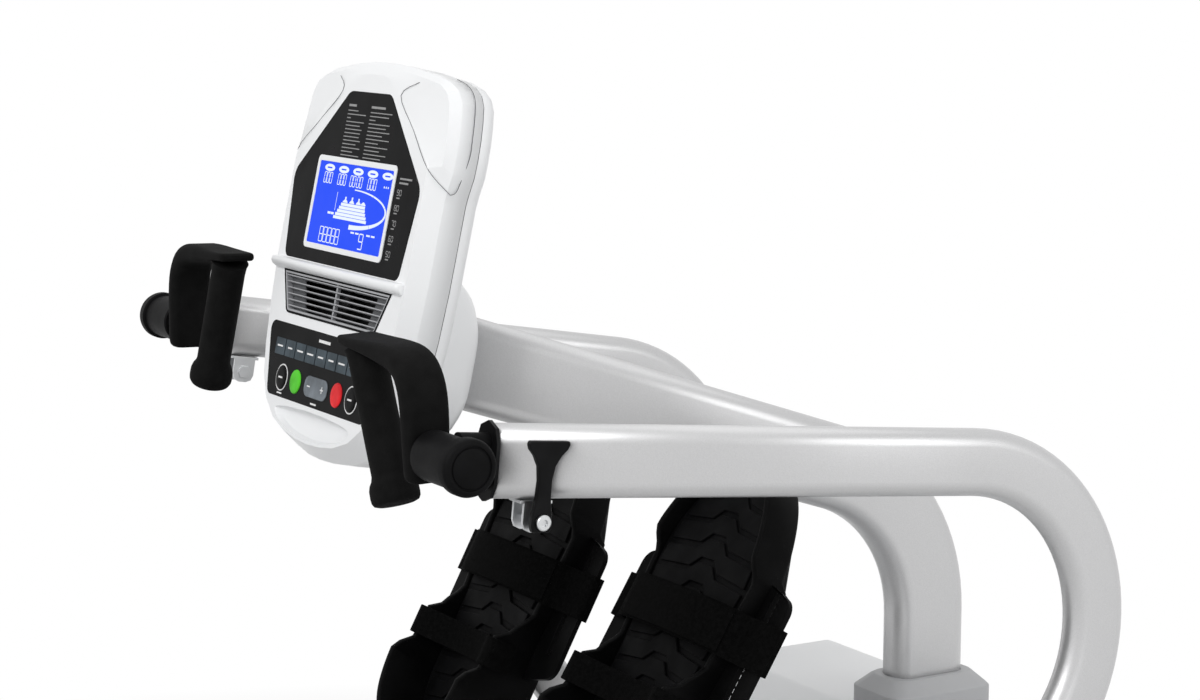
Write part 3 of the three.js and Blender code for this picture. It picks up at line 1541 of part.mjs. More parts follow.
function lobeSkin(inset) {
  const outline = box(
    [-lobe.halfWidth + inset, lobe.bottom + inset],
    [lobe.halfWidth - inset, lobe.top - inset],
    lobe.corner,
    5,
  );
  return loft([
    ringOf(outline, -shell.rearSide + (inset ? overrun * 2 : 0)),
    ringOf(offsetOutline(outline, -lobe.corner / 4), -lobe.depth * lobeShares.deep + inset),
    ringOf(offsetOutline(outline, -lobe.corner / lobeShares.end), -lobe.depth + inset),
  ]);
}

function inConsole(geometry) {
  return geometry.applyMatrix4(consoleGroup.matrixWorld.clone().invert());
}

function consoleRearGeometry() {
  const size = { ...mast, height: mast.height + 2 * fit, width: mast.width + 2 * fit, corner: mast.corner };
  const sleeve = loft(ringsAlong(route(mastTopAt, -mast.fallAngle, [
    { straight: lobe.depth * 2 },
  ]), tubeSection(size)));
  return shaped([rearSkin(0), lobeSkin(0)], [rearSkin(face.wall), lobeSkin(face.wall), inConsole(sleeve)]);
}
piece('console_rear', 'white', consoleRearGeometry(), consoleGroup);

// Display panel: bezel with the raised screen frame
function displayGeometry() {
  const top = -fit;
  const base = prism('xy', rounded(bezelOutline), -bezel.thick, top);
  const frameOf = (inset) => box(
    [-screen.halfWidth + inset, screen.bottom + inset],
    [screen.halfWidth - inset, screen.top - inset],
    screen.frame,
  );
  return shaped([base, prism('xy', frameOf(0), -bezel.thick / 2, screen.rise)], [
    prism('xy', frameOf(screen.frame), -screen.depth, screen.rise + overrun),
  ]);
}
piece('display_panel', 'gloss', displayGeometry(), consoleGroup);

const rotorFront = -fan.thick * 2 - slack;

// Fan grille: frame, centre rib, side blocks, tilted slats and the seat of the rotor
function grilleGeometry() {
  const outer = rounded(fanOutline);
  const frame = prism('xy', outer, -fan.thick, -fit, [offsetOutline(outer, -fan.rim)]);
  const clip = prism('xy', offsetOutline(outer, -fit), -fan.thick, -fit);
  const slats = [];
  const pitch = (fan.top - fan.bottom) / (fan.slats + 1);
  for (let i = 1; i <= fan.slats; i += 1) {
    const y = fan.bottom + i * pitch;
    slats.push(prism('yz', [
      [y - fan.slat / 2, -fit * 2],
      [y - fan.slat / 2 - fan.slat, -fan.thick + fit],
      [y - fan.slat / 2, -fan.thick + fit],
      [y + fan.slat / 2, -fit * 2],
    ], -fan.halfTop, fan.halfTop));
  }
  const rib = block([-fan.rib / 2, fan.bottom, -fan.thick], [fan.rib / 2, fan.top, -fan.slat]);
  const sideBlocks = [-1, 1].map((side) => block(
    [Math.min(side * fan.halfTop, side * (fan.halfBottom - fan.blockHalf)), fan.bottom, -fan.thick],
    [Math.max(side * fan.halfTop, side * (fan.halfBottom - fan.blockHalf)), fan.top, -fan.slat / 2],
  ));
  const seat = rod('z', [0, (fan.top + fan.bottom) / 2], fan.motor - slack, rotorFront + fit, -fan.slat, 12);
  return shaped([frame, shared(shaped([...slats, rib, ...sideBlocks]), clip), seat]);
}
piece('fan_grille', 'grey', grilleGeometry(), consoleGroup);

// Fan rotor behind the grille
function rotorGeometry() {
  const middle = [0, (fan.top + fan.bottom) / 2];
  const back = rotorFront - fan.rotorDepth;
  const parts = [rod('z', middle, fan.motor, back, rotorFront)];
  for (let i = 0; i < fan.blades; i += 1) {
    const half = fan.rotorDepth / 2;
    const blade = block([0, -fan.slat / 2, -half], [fan.rotor, fan.slat / 2, half]);
    blade.rotateX(radians(90 / 3));
    blade.rotateZ((i / fan.blades) * 2 * Math.PI);
    blade.translate(middle[0], middle[1], (rotorFront + back) / 2);
    parts.push(blade);
  }
  return shaped(parts);
}
piece('fan_rotor', 'black', rotorGeometry(), consoleGroup);

// Keypad panel with its raised row of keys
function keypadGeometry() {
  const top = -fit;
  const keys = [];
  for (let i = 0; i < key.count; i += 1) {
    const x = key.first + i * key.pitch;
    const outline = box([x, key.bottom], [x + key.width, key.top], key.rise * 2, 2);
    keys.push(prism('xy', outline, -keypad.thick, top + key.rise));
  }
  const base = prism('xy', rounded(keypadOutline), -keypad.thick, top);
  return shaped([base, ...keys], buttonHoles(-keypad.thick - overrun, overrun, fit));
}
piece('keypad_panel', 'gloss', keypadGeometry(), consoleGroup);

// Round buttons: a cap through the keypad with a flange behind it
const buttonLooks = { fan: 'gloss', start: 'green', stop: 'red', enter: 'gloss' };
Object.entries(buttonPlaces).forEach(([name, x]) => {
  const profile = [
    [0, -button.depth],
    [button.radius + fit, -button.depth],
    [button.radius + fit, -button.depth + button.flangeThick],
    [button.radius, -button.depth + button.flangeThick],
    [button.radius, button.proud - button.travel / 2],
    [button.radius - button.travel / 2, button.proud],
    [0, button.proud],
  ];
  const geometry = turned('z', [x, button.row, 0], profile, 12);
  piece(`${name}_button`, buttonLooks[name], geometry, consoleGroup);
});

function levelGeometry() {
  const body = prism('xy', levelOutline, -level.depth, level.proud);
  body.translate(0, button.row, 0);
  return body;
}
piece('level_rocker', 'grey', levelGeometry(), consoleGroup);

// Main beam with the seat rail welded on top of it
const railLow = beamTop - rail.wall / 2;
const railTop = railLow + rail.height;

function railGeometry() {
  const outer = box([-rail.width / 2, railLow], [rail.width / 2, railTop], rail.corner, 2);
  const inner = box(
    [-rail.width / 2 + rail.wall, railLow + rail.wall],
    [rail.width / 2 - rail.wall, railTop - rail.wall],
    rail.corner / 3,
    2,
  );
  return prism('yz', outer, rail.rear, rail.front, [inner]);
}
piece('main_beam', 'silver', shaped([beamGeometry(), railGeometry()]), stepper);

// Seat: carriage, swivel post with its pan, cushions, back frame and two levers
function carriageGeometry() {
  const top = railTop + fit + carriage.roof;
  const half = carriage.width / 2;
  const outer = box([-half, railTop - carriage.drop], [half, top], carriage.thick);
  const channel = box(
    [-rail.width / 2 - fit, railTop - carriage.drop - overrun],
    [rail.width / 2 + fit, railTop + fit],
  );
  const from = carriage.middle - carriage.length / 2;
  const body = prism('yz', outer, from, from + carriage.length);
  const socket = rod('z', [carriage.middle, 0], post.bearing, top - overrun, top + post.bearingHeight, 20);
  const socketTop = top + post.bearingHeight;
  const well = bore('z', [carriage.middle, 0], post.radius, railTop + carriage.roof, socketTop + overrun, 20);
  const way = prism('yz', channel, from - overrun, from + carriage.length + overrun);
  return shaped([body, socket], [way, well]);
}
piece('seat_carriage', 'blackSteel', carriageGeometry(), stepper);

// Swivel post with the seat pan and the back hinge ears welded on top
const panLow = post.top;
const panTop = panLow + pan.thick;
const earAt = [backFrame.hingeForward, backFrame.hingeHeight];

function postGeometry() {
  const low = railTop + carriage.roof + 2 * fit + fit;
  const earHalf = backFrame.half - backFrame.tube / 2 - slack;
  const panRear = cushion.middle - pan.length / 2;
  const ears = [-1, 1].map((side) => {
    const outer = side * earHalf;
    const inner = side * (earHalf - backFrame.plate);
    const outline = hullOf([
      ...circle(backFrame.tube * seatShares.ear, 16, earAt),
      [panRear + backFrame.tube * 2, panLow],
      [panRear + backFrame.tube * 2, panTop],
    ]);
    return prism('xz', outline, Math.min(outer, inner), Math.max(outer, inner));
  });
  return shaped([
    rod('z', [carriage.middle, 0], post.radius, low, panLow + overrun, 20),
    rod('z', [carriage.middle, 0], post.flangeRadius, panLow - post.flange, panLow + overrun, 20),
    prism('xy', moved(rectangle(pan.length, pan.width, pan.corner), cushion.middle, 0), panLow, panTop),
    ...ears,
  ], [bore('y', earAt, seatLever.radius, -earHalf - overrun, earHalf + overrun, 12)]);
}
piece('swivel_post', 'blackSteel', postGeometry(), stepper);

// A cushion drawn lying flat: crowned top, drawn-in sides and a sewn channel across
function cushionGeometry(length, width, height, corner, crown, middleShare) {
  const outline = rectangle(length, width, corner, 6);
  const rings = [];
  cushionShares.forEach(([insetShare, heightShare]) => {
    const inset = insetShare * height;
    rings.push(offsetOutline(outline, -inset).map(([x, y]) => {
      const bulge = crown * heightShare * (1 - (2 * x / length) ** 2) * (1 - (2 * y / width) ** 2);
      return new THREE.Vector3(x, y, heightShare * (height - crown) + bulge);
    }));
  });
  const body = loft(rings);
  const groove = rod('y', [(middleShare - 1 / 2) * length, height + crown / 2], crown, -width, width, 12);
  return shaped([body], [groove]);
}

const seatCushion = cushionGeometry(
  cushion.length,
  cushion.width,
  cushion.height,
  cushion.corner,
  cushion.crown,
  seatShares.channel,
);
seatCushion.translate(cushion.middle, 0, panTop + fit);
piece('seat_cushion', 'vinyl', seatCushion, stepper);

// The back is drawn upright about its hinge and leans to the rear.
const backGroup = new THREE.Group();
backGroup.position.set(backFrame.hingeForward, 0, backFrame.hingeHeight);
backGroup.rotation.y = radians(-backFrame.leanAngle);
stepper.add(backGroup);

function backFrameGeometry() {
  const radius = backFrame.tube / 2;
  const uprights = [-1, 1].map((side) => {
    const y = side * backFrame.half;
    return shaped([
      rod('z', [0, y], radius, -radius, backFrame.height, 12),
      rod('y', [0, 0], radius * seatShares.hinge, y - radius, y + radius, 20),
    ]);
  });
  const crossbars = [backFrame.height - radius, backCushion.bottom + radius].map((z) => (
    rod('y', [0, z], radius, -backFrame.half, backFrame.half, 12)
  ));
  const pin = rod('y', [0, 0], seatLever.radius, -backFrame.half, backFrame.half, 12);
  return shaped([...uprights, ...crossbars, pin]);
}
piece('back_frame', 'blackSteel', backFrameGeometry(), backGroup);

const backPad = cushionGeometry(
  backCushion.height,
  backCushion.width,
  backCushion.thick,
  backCushion.corner,
  backCushion.crown,
  seatShares.channel,
);
backPad.rotateY(radians(-90));
backPad.scale(-1, 1, 1);
backPad.translate(backFrame.tube / 2 + fit, 0, backCushion.bottom + backCushion.height / 2);
piece('back_cushion', 'vinyl', turnedOut(welded(backPad)), backGroup);

// Levers: a bar with a knob, on a ball at its inner end
function seatLeverGeometry(at, side) {
  const [x, y, z] = at;
  const end = y + side * (seatLever.length - seatLever.knobLength / 2);
  const bar = rod('y', [x, z], seatLever.radius, Math.min(y, end), Math.max(y, end), 12);
  const ball = new THREE.SphereGeometry(seatLever.radius, 8, 6);
  ball.translate(x, y, z);
  const tip = y + side * seatLever.length;
  const knob = rod('y', [x, z], seatLever.knob, Math.min(end, tip), Math.max(end, tip), 12);
  return shaped([bar, ball, knob]);
}

const slideLeverAt = [
  carriage.middle + carriage.length / 4,
  -carriage.width / 2 - fit - seatLever.radius,
  railTop - carriage.drop / 2,
];
piece('slide_lever', 'black', seatLeverGeometry(slideLeverAt, -1), stepper);
const swivelLeverAt = [
  carriage.middle,
  post.bearing + fit + seatLever.radius,
  railTop + carriage.roof + post.bearingHeight / 2,
];
piece('swivel_lever', 'black', seatLeverGeometry(swivelLeverAt, 1), stepper);

export default stepper;
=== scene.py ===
import json
import math

import bmesh
import bpy
from mathutils import Matrix, Vector


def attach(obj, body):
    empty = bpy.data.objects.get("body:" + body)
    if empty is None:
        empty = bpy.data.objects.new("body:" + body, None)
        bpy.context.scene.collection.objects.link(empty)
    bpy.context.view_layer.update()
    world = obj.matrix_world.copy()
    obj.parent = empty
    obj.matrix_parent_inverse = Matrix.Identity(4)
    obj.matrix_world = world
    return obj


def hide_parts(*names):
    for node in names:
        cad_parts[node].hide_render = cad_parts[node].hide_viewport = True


bl_info = {
    "name": "Recumbent stepper",
    "version": (1, 0, 0),
    "blender": (4, 5, 0),
    "location": "View3D > Sidebar > Stepper",
    "description": "Dresses a total-body recumbent stepper in its finishes and fine shapes",
    "category": "Object",
}

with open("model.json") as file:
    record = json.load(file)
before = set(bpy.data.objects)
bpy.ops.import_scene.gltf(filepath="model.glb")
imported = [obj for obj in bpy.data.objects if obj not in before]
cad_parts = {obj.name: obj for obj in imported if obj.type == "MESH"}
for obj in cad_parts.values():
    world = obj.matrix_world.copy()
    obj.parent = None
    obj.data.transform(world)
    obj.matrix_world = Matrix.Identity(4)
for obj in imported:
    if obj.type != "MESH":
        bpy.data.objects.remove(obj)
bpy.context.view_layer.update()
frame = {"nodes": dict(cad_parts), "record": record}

MM = 0.001
SIDES = (("right", -1), ("left", 1))

# Sizes that follow the construction, in millimetres
AXLE = (510.0, 277.0)
REST_TILT = 1.885
ARM_OFFSET = 391.0
ARM_FALL = 7.55
FACE_ORIGIN = (5.0, 0.0, 917.0)
FACE_TILT = 12.5
HUB_BACK = 43.0
PEDAL_OFFSET = 163.0
PEDAL_BACK = 195.0
PEDAL_RISE = 349.0
PEDAL_SLOPE = 60.0


class StepperSizes(bpy.types.PropertyGroup):
    """Sizes of the dressed pieces"""

    tube_height: bpy.props.FloatProperty(
        name="Arm height", description="Height of the arm's oval tube", default=0.070, unit="LENGTH")
    tube_width: bpy.props.FloatProperty(
        name="Arm width", description="Width of the arm's oval tube", default=0.035, unit="LENGTH")
    tube_corner: bpy.props.FloatProperty(
        name="Arm corner", description="Corner radius of the arm's tube", default=0.0172, unit="LENGTH")
    mast_height: bpy.props.FloatProperty(
        name="Mast depth", description="Long side of the mast's section", default=0.100, unit="LENGTH")
    mast_width: bpy.props.FloatProperty(
        name="Mast width", description="Short side of the mast's section", default=0.050, unit="LENGTH")


class StepperColours(bpy.types.PropertyGroup):
    """Colours of the finishes"""

    silver: bpy.props.FloatVectorProperty(
        name="Silver paint", description="Metallic paint of the tubes", subtype="COLOR", size=3,
        default=(0.56, 0.56, 0.565))
    white: bpy.props.FloatVectorProperty(
        name="White shell", description="Console and shroud mouldings", subtype="COLOR", size=3,
        default=(0.86, 0.87, 0.88))
    black: bpy.props.FloatVectorProperty(
        name="Black moulding", description="Pedals, bushes and levers", subtype="COLOR", size=3,
        default=(0.0045, 0.0045, 0.0048))
    screen: bpy.props.FloatVectorProperty(
        name="Screen", description="Backlight of the screen", subtype="COLOR", size=3,
        default=(0.0044, 0.066, 0.93))


# Materials

def shader_of(material):
    return next(n for n in material.node_tree.nodes if n.type == "BSDF_PRINCIPLED")


def plain(name, colour, roughness, metallic=0.0, coat=0.0, coat_roughness=0.2, specular=0.5):
    material = bpy.data.materials.get(name) or bpy.data.materials.new(name)
    material.use_nodes = True
    shader = shader_of(material)
    shader.inputs["Base Color"].default_value = (*colour, 1.0)
    shader.inputs["Roughness"].default_value = roughness
    shader.inputs["Metallic"].default_value = metallic
    shader.inputs["Coat Weight"].default_value = coat
    shader.inputs["Coat Roughness"].default_value = coat_roughness
    shader.inputs["Specular IOR Level"].default_value = specular
    return material


def add_node(material, kind, **values):
    node = material.node_tree.nodes.new(kind)
    for key, value in values.items():
        if hasattr(node, key):
            setattr(node, key, value)
        else:
            node.inputs[key].default_value = value
    return node


def link(material, source, target):
    material.node_tree.links.new(source, target)


def object_points(material):
    return add_node(material, "ShaderNodeTexCoord").outputs["Object"]


def noise_on(material, scale, detail=4.0, roughness=0.55):
    texture = add_node(material, "ShaderNodeTexNoise", Scale=scale, Detail=detail, Roughness=roughness)
    link(material, object_points(material), texture.inputs["Vector"])
    return texture.outputs["Fac"]


def bump(material, height, strength, distance):
    node = add_node(material, "ShaderNodeBump", Strength=strength, Distance=distance)
    shader = shader_of(material)
    if shader.inputs["Normal"].is_linked:
        link(material, shader.inputs["Normal"].links[0].from_socket, node.inputs["Normal"])
    link(material, height, node.inputs["Height"])
    link(material, node.outputs["Normal"], shader.inputs["Normal"])


def spread(material, factor, low, high, target):
    node = add_node(material, "ShaderNodeMapRange")
    node.inputs["To Min"].default_value = low
    node.inputs["To Max"].default_value = high
    node.inputs["From Min"].default_value = 0.3
    node.inputs["From Max"].default_value = 0.7
    link(material, factor, node.inputs["Value"])
    link(material, node.outputs["Result"], shader_of(material).inputs[target])


def tinted(material, factor, first, second, low=0.35, high=0.65):
    ramp = add_node(material, "ShaderNodeValToRGB")
    ramp.color_ramp.elements[0].position = low
    ramp.color_ramp.elements[0].color = (*first, 1.0)
    ramp.color_ramp.elements[1].position = high
    ramp.color_ramp.elements[1].color = (*second, 1.0)
    link(material, factor, ramp.inputs["Fac"])
    link(material, ramp.outputs["Color"], shader_of(material).inputs["Base Color"])


def scaled(colour, share):
    return tuple(min(1.0, c * share) for c in colour)


def silver_paint():
    colour = bpy.context.scene.stepper_colours.silver
    material = plain("silver_paint", colour, 0.36, 0.72, 0.25, 0.25)
    flakes = add_node(material, "ShaderNodeTexVoronoi", Scale=2600.0)
    link(material, object_points(material), flakes.inputs["Vector"])
    tinted(material, flakes.outputs["Color"], scaled(colour, 0.9), scaled(colour, 1.08), 0.1, 0.9)
    spread(material, noise_on(material, 9.0), 0.33, 0.40, "Roughness")
    bump(material, noise_on(material, 420.0, 3.0), 0.10, 0.0002)
    return material


def white_plastic():
    colour = bpy.context.scene.stepper_colours.white
    material = plain("white_plastic", colour, 0.34, 0.0, 0.15, 0.3, 0.45)
    spread(material, noise_on(material, 14.0), 0.30, 0.40, "Roughness")
    tinted(material, noise_on(material, 6.0), scaled(colour, 0.985), colour)
    bump(material, noise_on(material, 1400.0, 2.0), 0.05, 0.0001)
    return material


def black_plastic(name="black_plastic", roughness=0.42, grain=0.16, colour=None, specular=0.08):
    colour = colour or bpy.context.scene.stepper_colours.black
    material = plain(name, colour, roughness, 0.0, 0.0, 0.2, specular)
    spread(material, noise_on(material, 22.0), roughness - 0.05, roughness + 0.08, "Roughness")
    tinted(material, noise_on(material, 30.0), scaled(colour, 0.8), scaled(colour, 1.5))
    bump(material, noise_on(material, 1500.0, 3.0), grain, 0.0002)
    return material


def foam():
    material = plain("foam_grip", (0.004, 0.004, 0.004), 0.86, 0.0, 0.0, 0.2, 0.10)
    tinted(material, noise_on(material, 60.0), (0.0035, 0.0035, 0.0035), (0.006, 0.006, 0.006))
    pores = add_node(material, "ShaderNodeTexVoronoi", Scale=1300.0)
    link(material, object_points(material), pores.inputs["Vector"])
    bump(material, pores.outputs["Distance"], 0.30, 0.0004)
    bump(material, noise_on(material, 90.0), 0.12, 0.0008)
    return material


def rubber(name="footbed_rubber", colour=(0.0024, 0.0024, 0.0026)):
    material = plain(name, colour, 0.60, 0.0, 0.0, 0.2, 0.05)
    tinted(material, noise_on(material, 35.0), scaled(colour, 0.7), scaled(colour, 1.6))
    spread(material, noise_on(material, 25.0), 0.50, 0.70, "Roughness")
    bump(material, noise_on(material, 900.0, 3.0), 0.22, 0.0003)
    return material


def metal(name, colour, roughness, grain=60.0):
    material = plain(name, colour, roughness, 1.0)
    spread(material, noise_on(material, grain), roughness - 0.08, roughness + 0.10, "Roughness")
    tinted(material, noise_on(material, grain / 3.0), scaled(colour, 0.85), scaled(colour, 1.05))
    bump(material, noise_on(material, 700.0), 0.08, 0.0002)
    return material


def webbing():
    material = plain("strap_webbing", (0.0024, 0.0024, 0.0024), 0.88, 0.0, 0.0, 0.2, 0.03)
    points = object_points(material)
    weft = add_node(material, "ShaderNodeTexWave", wave_type="BANDS", bands_direction="Y", Scale=330.0)
    warp = add_node(material, "ShaderNodeTexWave", wave_type="BANDS", bands_direction="DIAGONAL", Scale=240.0)
    for wave in (weft, warp):
        link(material, points, wave.inputs["Vector"])
        bump(material, wave.outputs["Fac"], 0.35, 0.0004)
    tinted(material, noise_on(material, 240.0), (0.0018, 0.0018, 0.0018), (0.004, 0.004, 0.004))
    return material


def vinyl():
    colour = (0.022, 0.023, 0.026)
    material = plain("seat_vinyl", colour, 0.5, 0.0, 0.0, 0.2, 0.4)
    cells = add_node(material, "ShaderNodeTexVoronoi", Scale=520.0)
    link(material, object_points(material), cells.inputs["Vector"])
    bump(material, cells.outputs["Distance"], 0.30, 0.0005)
    tinted(material, noise_on(material, 18.0), scaled(colour, 0.8), scaled(colour, 1.25))
    spread(material, noise_on(material, 40.0), 0.42, 0.58, "Roughness")
    return material


def glowing(name, colour, strength):
    material = plain(name, scaled(colour, 0.02), 0.4, specular=0.08)
    shader = shader_of(material)
    shader.inputs["Emission Color"].default_value = (*colour, 1.0)
    shader.inputs["Emission Strength"].default_value = strength
    spread(material, noise_on(material, 30.0), 0.35, 0.45, "Roughness")
    return material


# Mesh helpers. Every shape is made in millimetres and placed by one matrix.

def placed(matrix):
    return Matrix.Scale(MM, 4) @ matrix


def face_matrix():
    tilt = math.radians(FACE_TILT)
    right = Vector((0.0, -1.0, 0.0))
    up = Vector((math.sin(tilt), 0.0, math.cos(tilt)))
    out = right.cross(up)
    rotation = Matrix((right, up, out)).transposed().to_4x4()
    return Matrix.Translation(FACE_ORIGIN) @ rotation


def swing_matrix(side):
    axle = Matrix.Translation((AXLE[0], 0.0, AXLE[1]))
    return axle @ Matrix.Rotation(math.radians(side * REST_TILT), 4, "Y")


def finished(bm, name, matrix, material, body, replaces=(), angle=35.0, bevel=None):
    bmesh.ops.remove_doubles(bm, verts=bm.verts, dist=0.001)
    bmesh.ops.transform(bm, matrix=placed(matrix), verts=bm.verts)
    bmesh.ops.recalc_face_normals(bm, faces=bm.faces)
    return piece_from(bm, name, material, body, replaces, angle, bevel)


def piece_from(bm, name, material, body, replaces=(), angle=35.0, bevel=None):
    for face in bm.faces:
        face.smooth = True
    limit = math.radians(angle)
    for edge in bm.edges:
        edge.smooth = len(edge.link_faces) != 2 or edge.calc_face_angle(0.0) < limit
    mesh = bpy.data.meshes.new(name)
    bm.to_mesh(mesh)
    bm.free()
    piece = bpy.data.objects.new(name, mesh)
    bpy.context.scene.collection.objects.link(piece)
    mesh.materials.append(material)
    if bevel:
        rounding = piece.modifiers.new("edges", "BEVEL")
        rounding.width = bevel[0] * MM
        rounding.segments = bevel[1]
        rounding.limit_method = "ANGLE"
        rounding.angle_limit = math.radians(28.0)
        rounding.harden_normals = True
    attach(piece, body)
    if replaces:
        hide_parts(*replaces)
    return piece


def body_of_node(node):
    for body, nodes in frame["record"]["behaviour"]["bodies"].items():
        if node in nodes:
            return body
    raise ValueError("no body holds " + node)


def refined(node, material, width=1.2, segments=3, angle=32.0):
    """A copy of a construction node with merged faces and rounded edges."""
    bm = bmesh.new()
    bm.from_mesh(frame["nodes"][node].data)
    bmesh.ops.remove_doubles(bm, verts=bm.verts, dist=0.00001)
    bmesh.ops.dissolve_limit(bm, angle_limit=math.radians(0.5), verts=bm.verts, edges=bm.edges)
    piece_from(bm, node + "_skin", material, body_of_node(node), (node,), angle,
               (width, segments))


def dressed(node, material):
    """Gives a construction node its finish."""
    slots = frame["nodes"][node].data.materials
    slots.clear()
    slots.append(material)


def made_verts(made):
    """The vertices among what an operator made."""
    return [v for v in made if isinstance(v, bmesh.types.BMVert)]


def rounded_section(width, height, corner, steps=7):
    points = []
    for quarter in range(4):
        sign_x = 1 if quarter in (0, 3) else -1
        sign_y = 1 if quarter in (0, 1) else -1
        centre = (sign_x * (width / 2 - corner), sign_y * (height / 2 - corner))
        for i in range(steps + 1):
            angle = math.radians(90.0 * quarter + 90.0 * i / steps)
            points.append((centre[0] + corner * math.cos(angle), centre[1] + corner * math.sin(angle)))
    return points


def swept(bm, section, start, heading, legs, y=0.0, bend_step=4.0):
    """Extrudes and spins a section, drawn across Y, along a route in the XZ plane."""
    angle = math.radians(heading)
    verts = []
    for a, b in section:
        verts.append(bm.verts.new((start[0] - b * math.sin(angle), y + a, start[1] + b * math.cos(angle))))
    edges = [bm.edges.new((verts[i], verts[(i + 1) % len(verts)])) for i in range(len(verts))]
    place = Vector((start[0], y, start[1]))
    for leg in legs:
        angle = math.radians(heading)
        ahead = Vector((math.cos(angle), 0.0, math.sin(angle)))
        if leg[0] == "straight":
            made = bmesh.ops.extrude_edge_only(bm, edges=edges)["geom"]
            bmesh.ops.translate(bm, vec=ahead * leg[1], verts=made_verts(made))
            edges = [e for e in made if isinstance(e, bmesh.types.BMEdge) and len(e.link_faces) == 1]
            place = place + ahead * leg[1]
            continue
        radius, turn = leg[1], leg[2]
        side = 1.0 if turn > 0 else -1.0
        across = Vector((-math.sin(angle), 0.0, math.cos(angle))) * side
        centre = place + across * radius
        made = bmesh.ops.spin(
            bm, geom=edges, cent=centre, axis=(0.0, -1.0, 0.0), angle=math.radians(turn),
            steps=max(2, int(abs(turn) / bend_step)), use_duplicate=False)["geom_last"]
        edges = [e for e in made if isinstance(e, bmesh.types.BMEdge)]
        place = centre + Matrix.Rotation(math.radians(-turn), 3, "Y") @ (place - centre)
        heading += turn
    return edges


def lathe(bm, profile, axis="Z", centre=(0.0, 0.0, 0.0), steps=48):
    """Spins a profile of (radius, along) points round an axis."""
    verts = [bm.verts.new((radius, 0.0, along)) for radius, along in profile]
    edges = [bm.edges.new((verts[i], verts[i + 1])) for i in range(len(verts) - 1)]
    made = bmesh.ops.spin(bm, geom=verts + edges, cent=(0.0, 0.0, 0.0), axis=(0.0, 0.0, 1.0),
                          angle=2.0 * math.pi, steps=steps, use_merge=True, use_duplicate=False)
    seen = set(verts) | set(made_verts(made["geom_last"]))
    grown = list(seen)
    while grown:
        vert = grown.pop()
        for edge in vert.link_edges:
            other = edge.other_vert(vert)
            if other not in seen:
                seen.add(other)
                grown.append(other)
    turn = {"X": Matrix.Rotation(math.pi / 2, 4, "Y"), "Y": Matrix.Rotation(-math.pi / 2, 4, "X"),
            "Z": Matrix.Identity(4)}[axis]
    bmesh.ops.transform(bm, matrix=Matrix.Translation(centre) @ turn, verts=list(seen))


def plate(bm, outline, low, high):
    """A flat outline in XY given a thickness along Z."""
    verts = [bm.verts.new((x, y, low)) for x, y in outline]
    face = bm.faces.new(verts)
    made = bmesh.ops.extrude_face_region(bm, geom=[face])["geom"]
    bmesh.ops.translate(bm, vec=(0.0, 0.0, high - low), verts=made_verts(made))


# Frame, mast and arms

def refine_frame():
    silver = silver_paint()
    black = black_plastic()
    for node in ("main_beam", "front_stabiliser", "rear_stabiliser", "axle_stand"):
        refined(node, silver, 1.5, 2)
    for side, _ in SIDES:
        refined(side + "_front_cap", black, 2.0, 2)
        refined(side + "_rear_cap", black, 2.0, 2)
    refined("transport_wheels", rubber("wheel_rubber"), 1.0, 2)


def tube(name, section, start, heading, legs, wall, matrix, material, body, replaces, y=0.0):
    bm = bmesh.new()
    swept(bm, section, start, heading, legs, y)
    add_wall(finished(bm, name, matrix, material, body, replaces, 40.0), wall)


def add_wall(piece, wall):
    thick = piece.modifiers.new("wall", "SOLIDIFY")
    thick.thickness = wall * MM
    thick.offset = -1.0


def boss_profile(radius, bore, half, edge=1.5):
    return [(bore, -half), (radius - edge, -half), (radius, -half + edge), (radius, half - edge),
            (radius - edge, half), (bore, half), (bore, -half)]


# Mast: start of its top as (x, z), fall of its top in degrees, bend, x of its upright, z of its foot
MAST = {"start": (130.0, 960.9), "fall": 18.4, "bend": 200.0, "forward": 804.0, "foot": 148.6,
        "corner": 20.0, "wall": 4.0}


def mast_legs():
    fall, bend = MAST["fall"], MAST["bend"]
    start_x, start_z = MAST["start"]
    lean = math.radians(fall)
    reach = (MAST["forward"] - bend * (1.0 - math.sin(lean)) - start_x) / math.cos(lean)
    end = start_z - reach * math.sin(lean) - bend * math.cos(lean)
    return [("straight", reach), ("bend", bend, fall - 90.0), ("straight", end - MAST["foot"])]


# Bearings on the mast as (x, z), radius and half length, with the arm that carries the first one
MAST_BEARINGS = (((706.0, 277.0), 22.0, 30.0), ((835.0, 230.0), 18.0, 50.0))
BEARING_BORE = 10.3
BEARING_ARM = ((706.0, -15.0, 288.0), (756.0, 15.0, 292.0))
# Brake caliper: two cheeks, the bridge over them and the arm to the mast
CALIPER = (
    ((805.0, -167.0, 286.0), (865.0, -160.0, 332.0)), ((805.0, -144.0, 286.0), (865.0, -137.0, 332.0)),
    ((805.0, -167.0, 322.0), (865.0, -137.0, 332.0)), ((820.0, -152.0, 326.0), (850.0, -23.0, 332.0)))


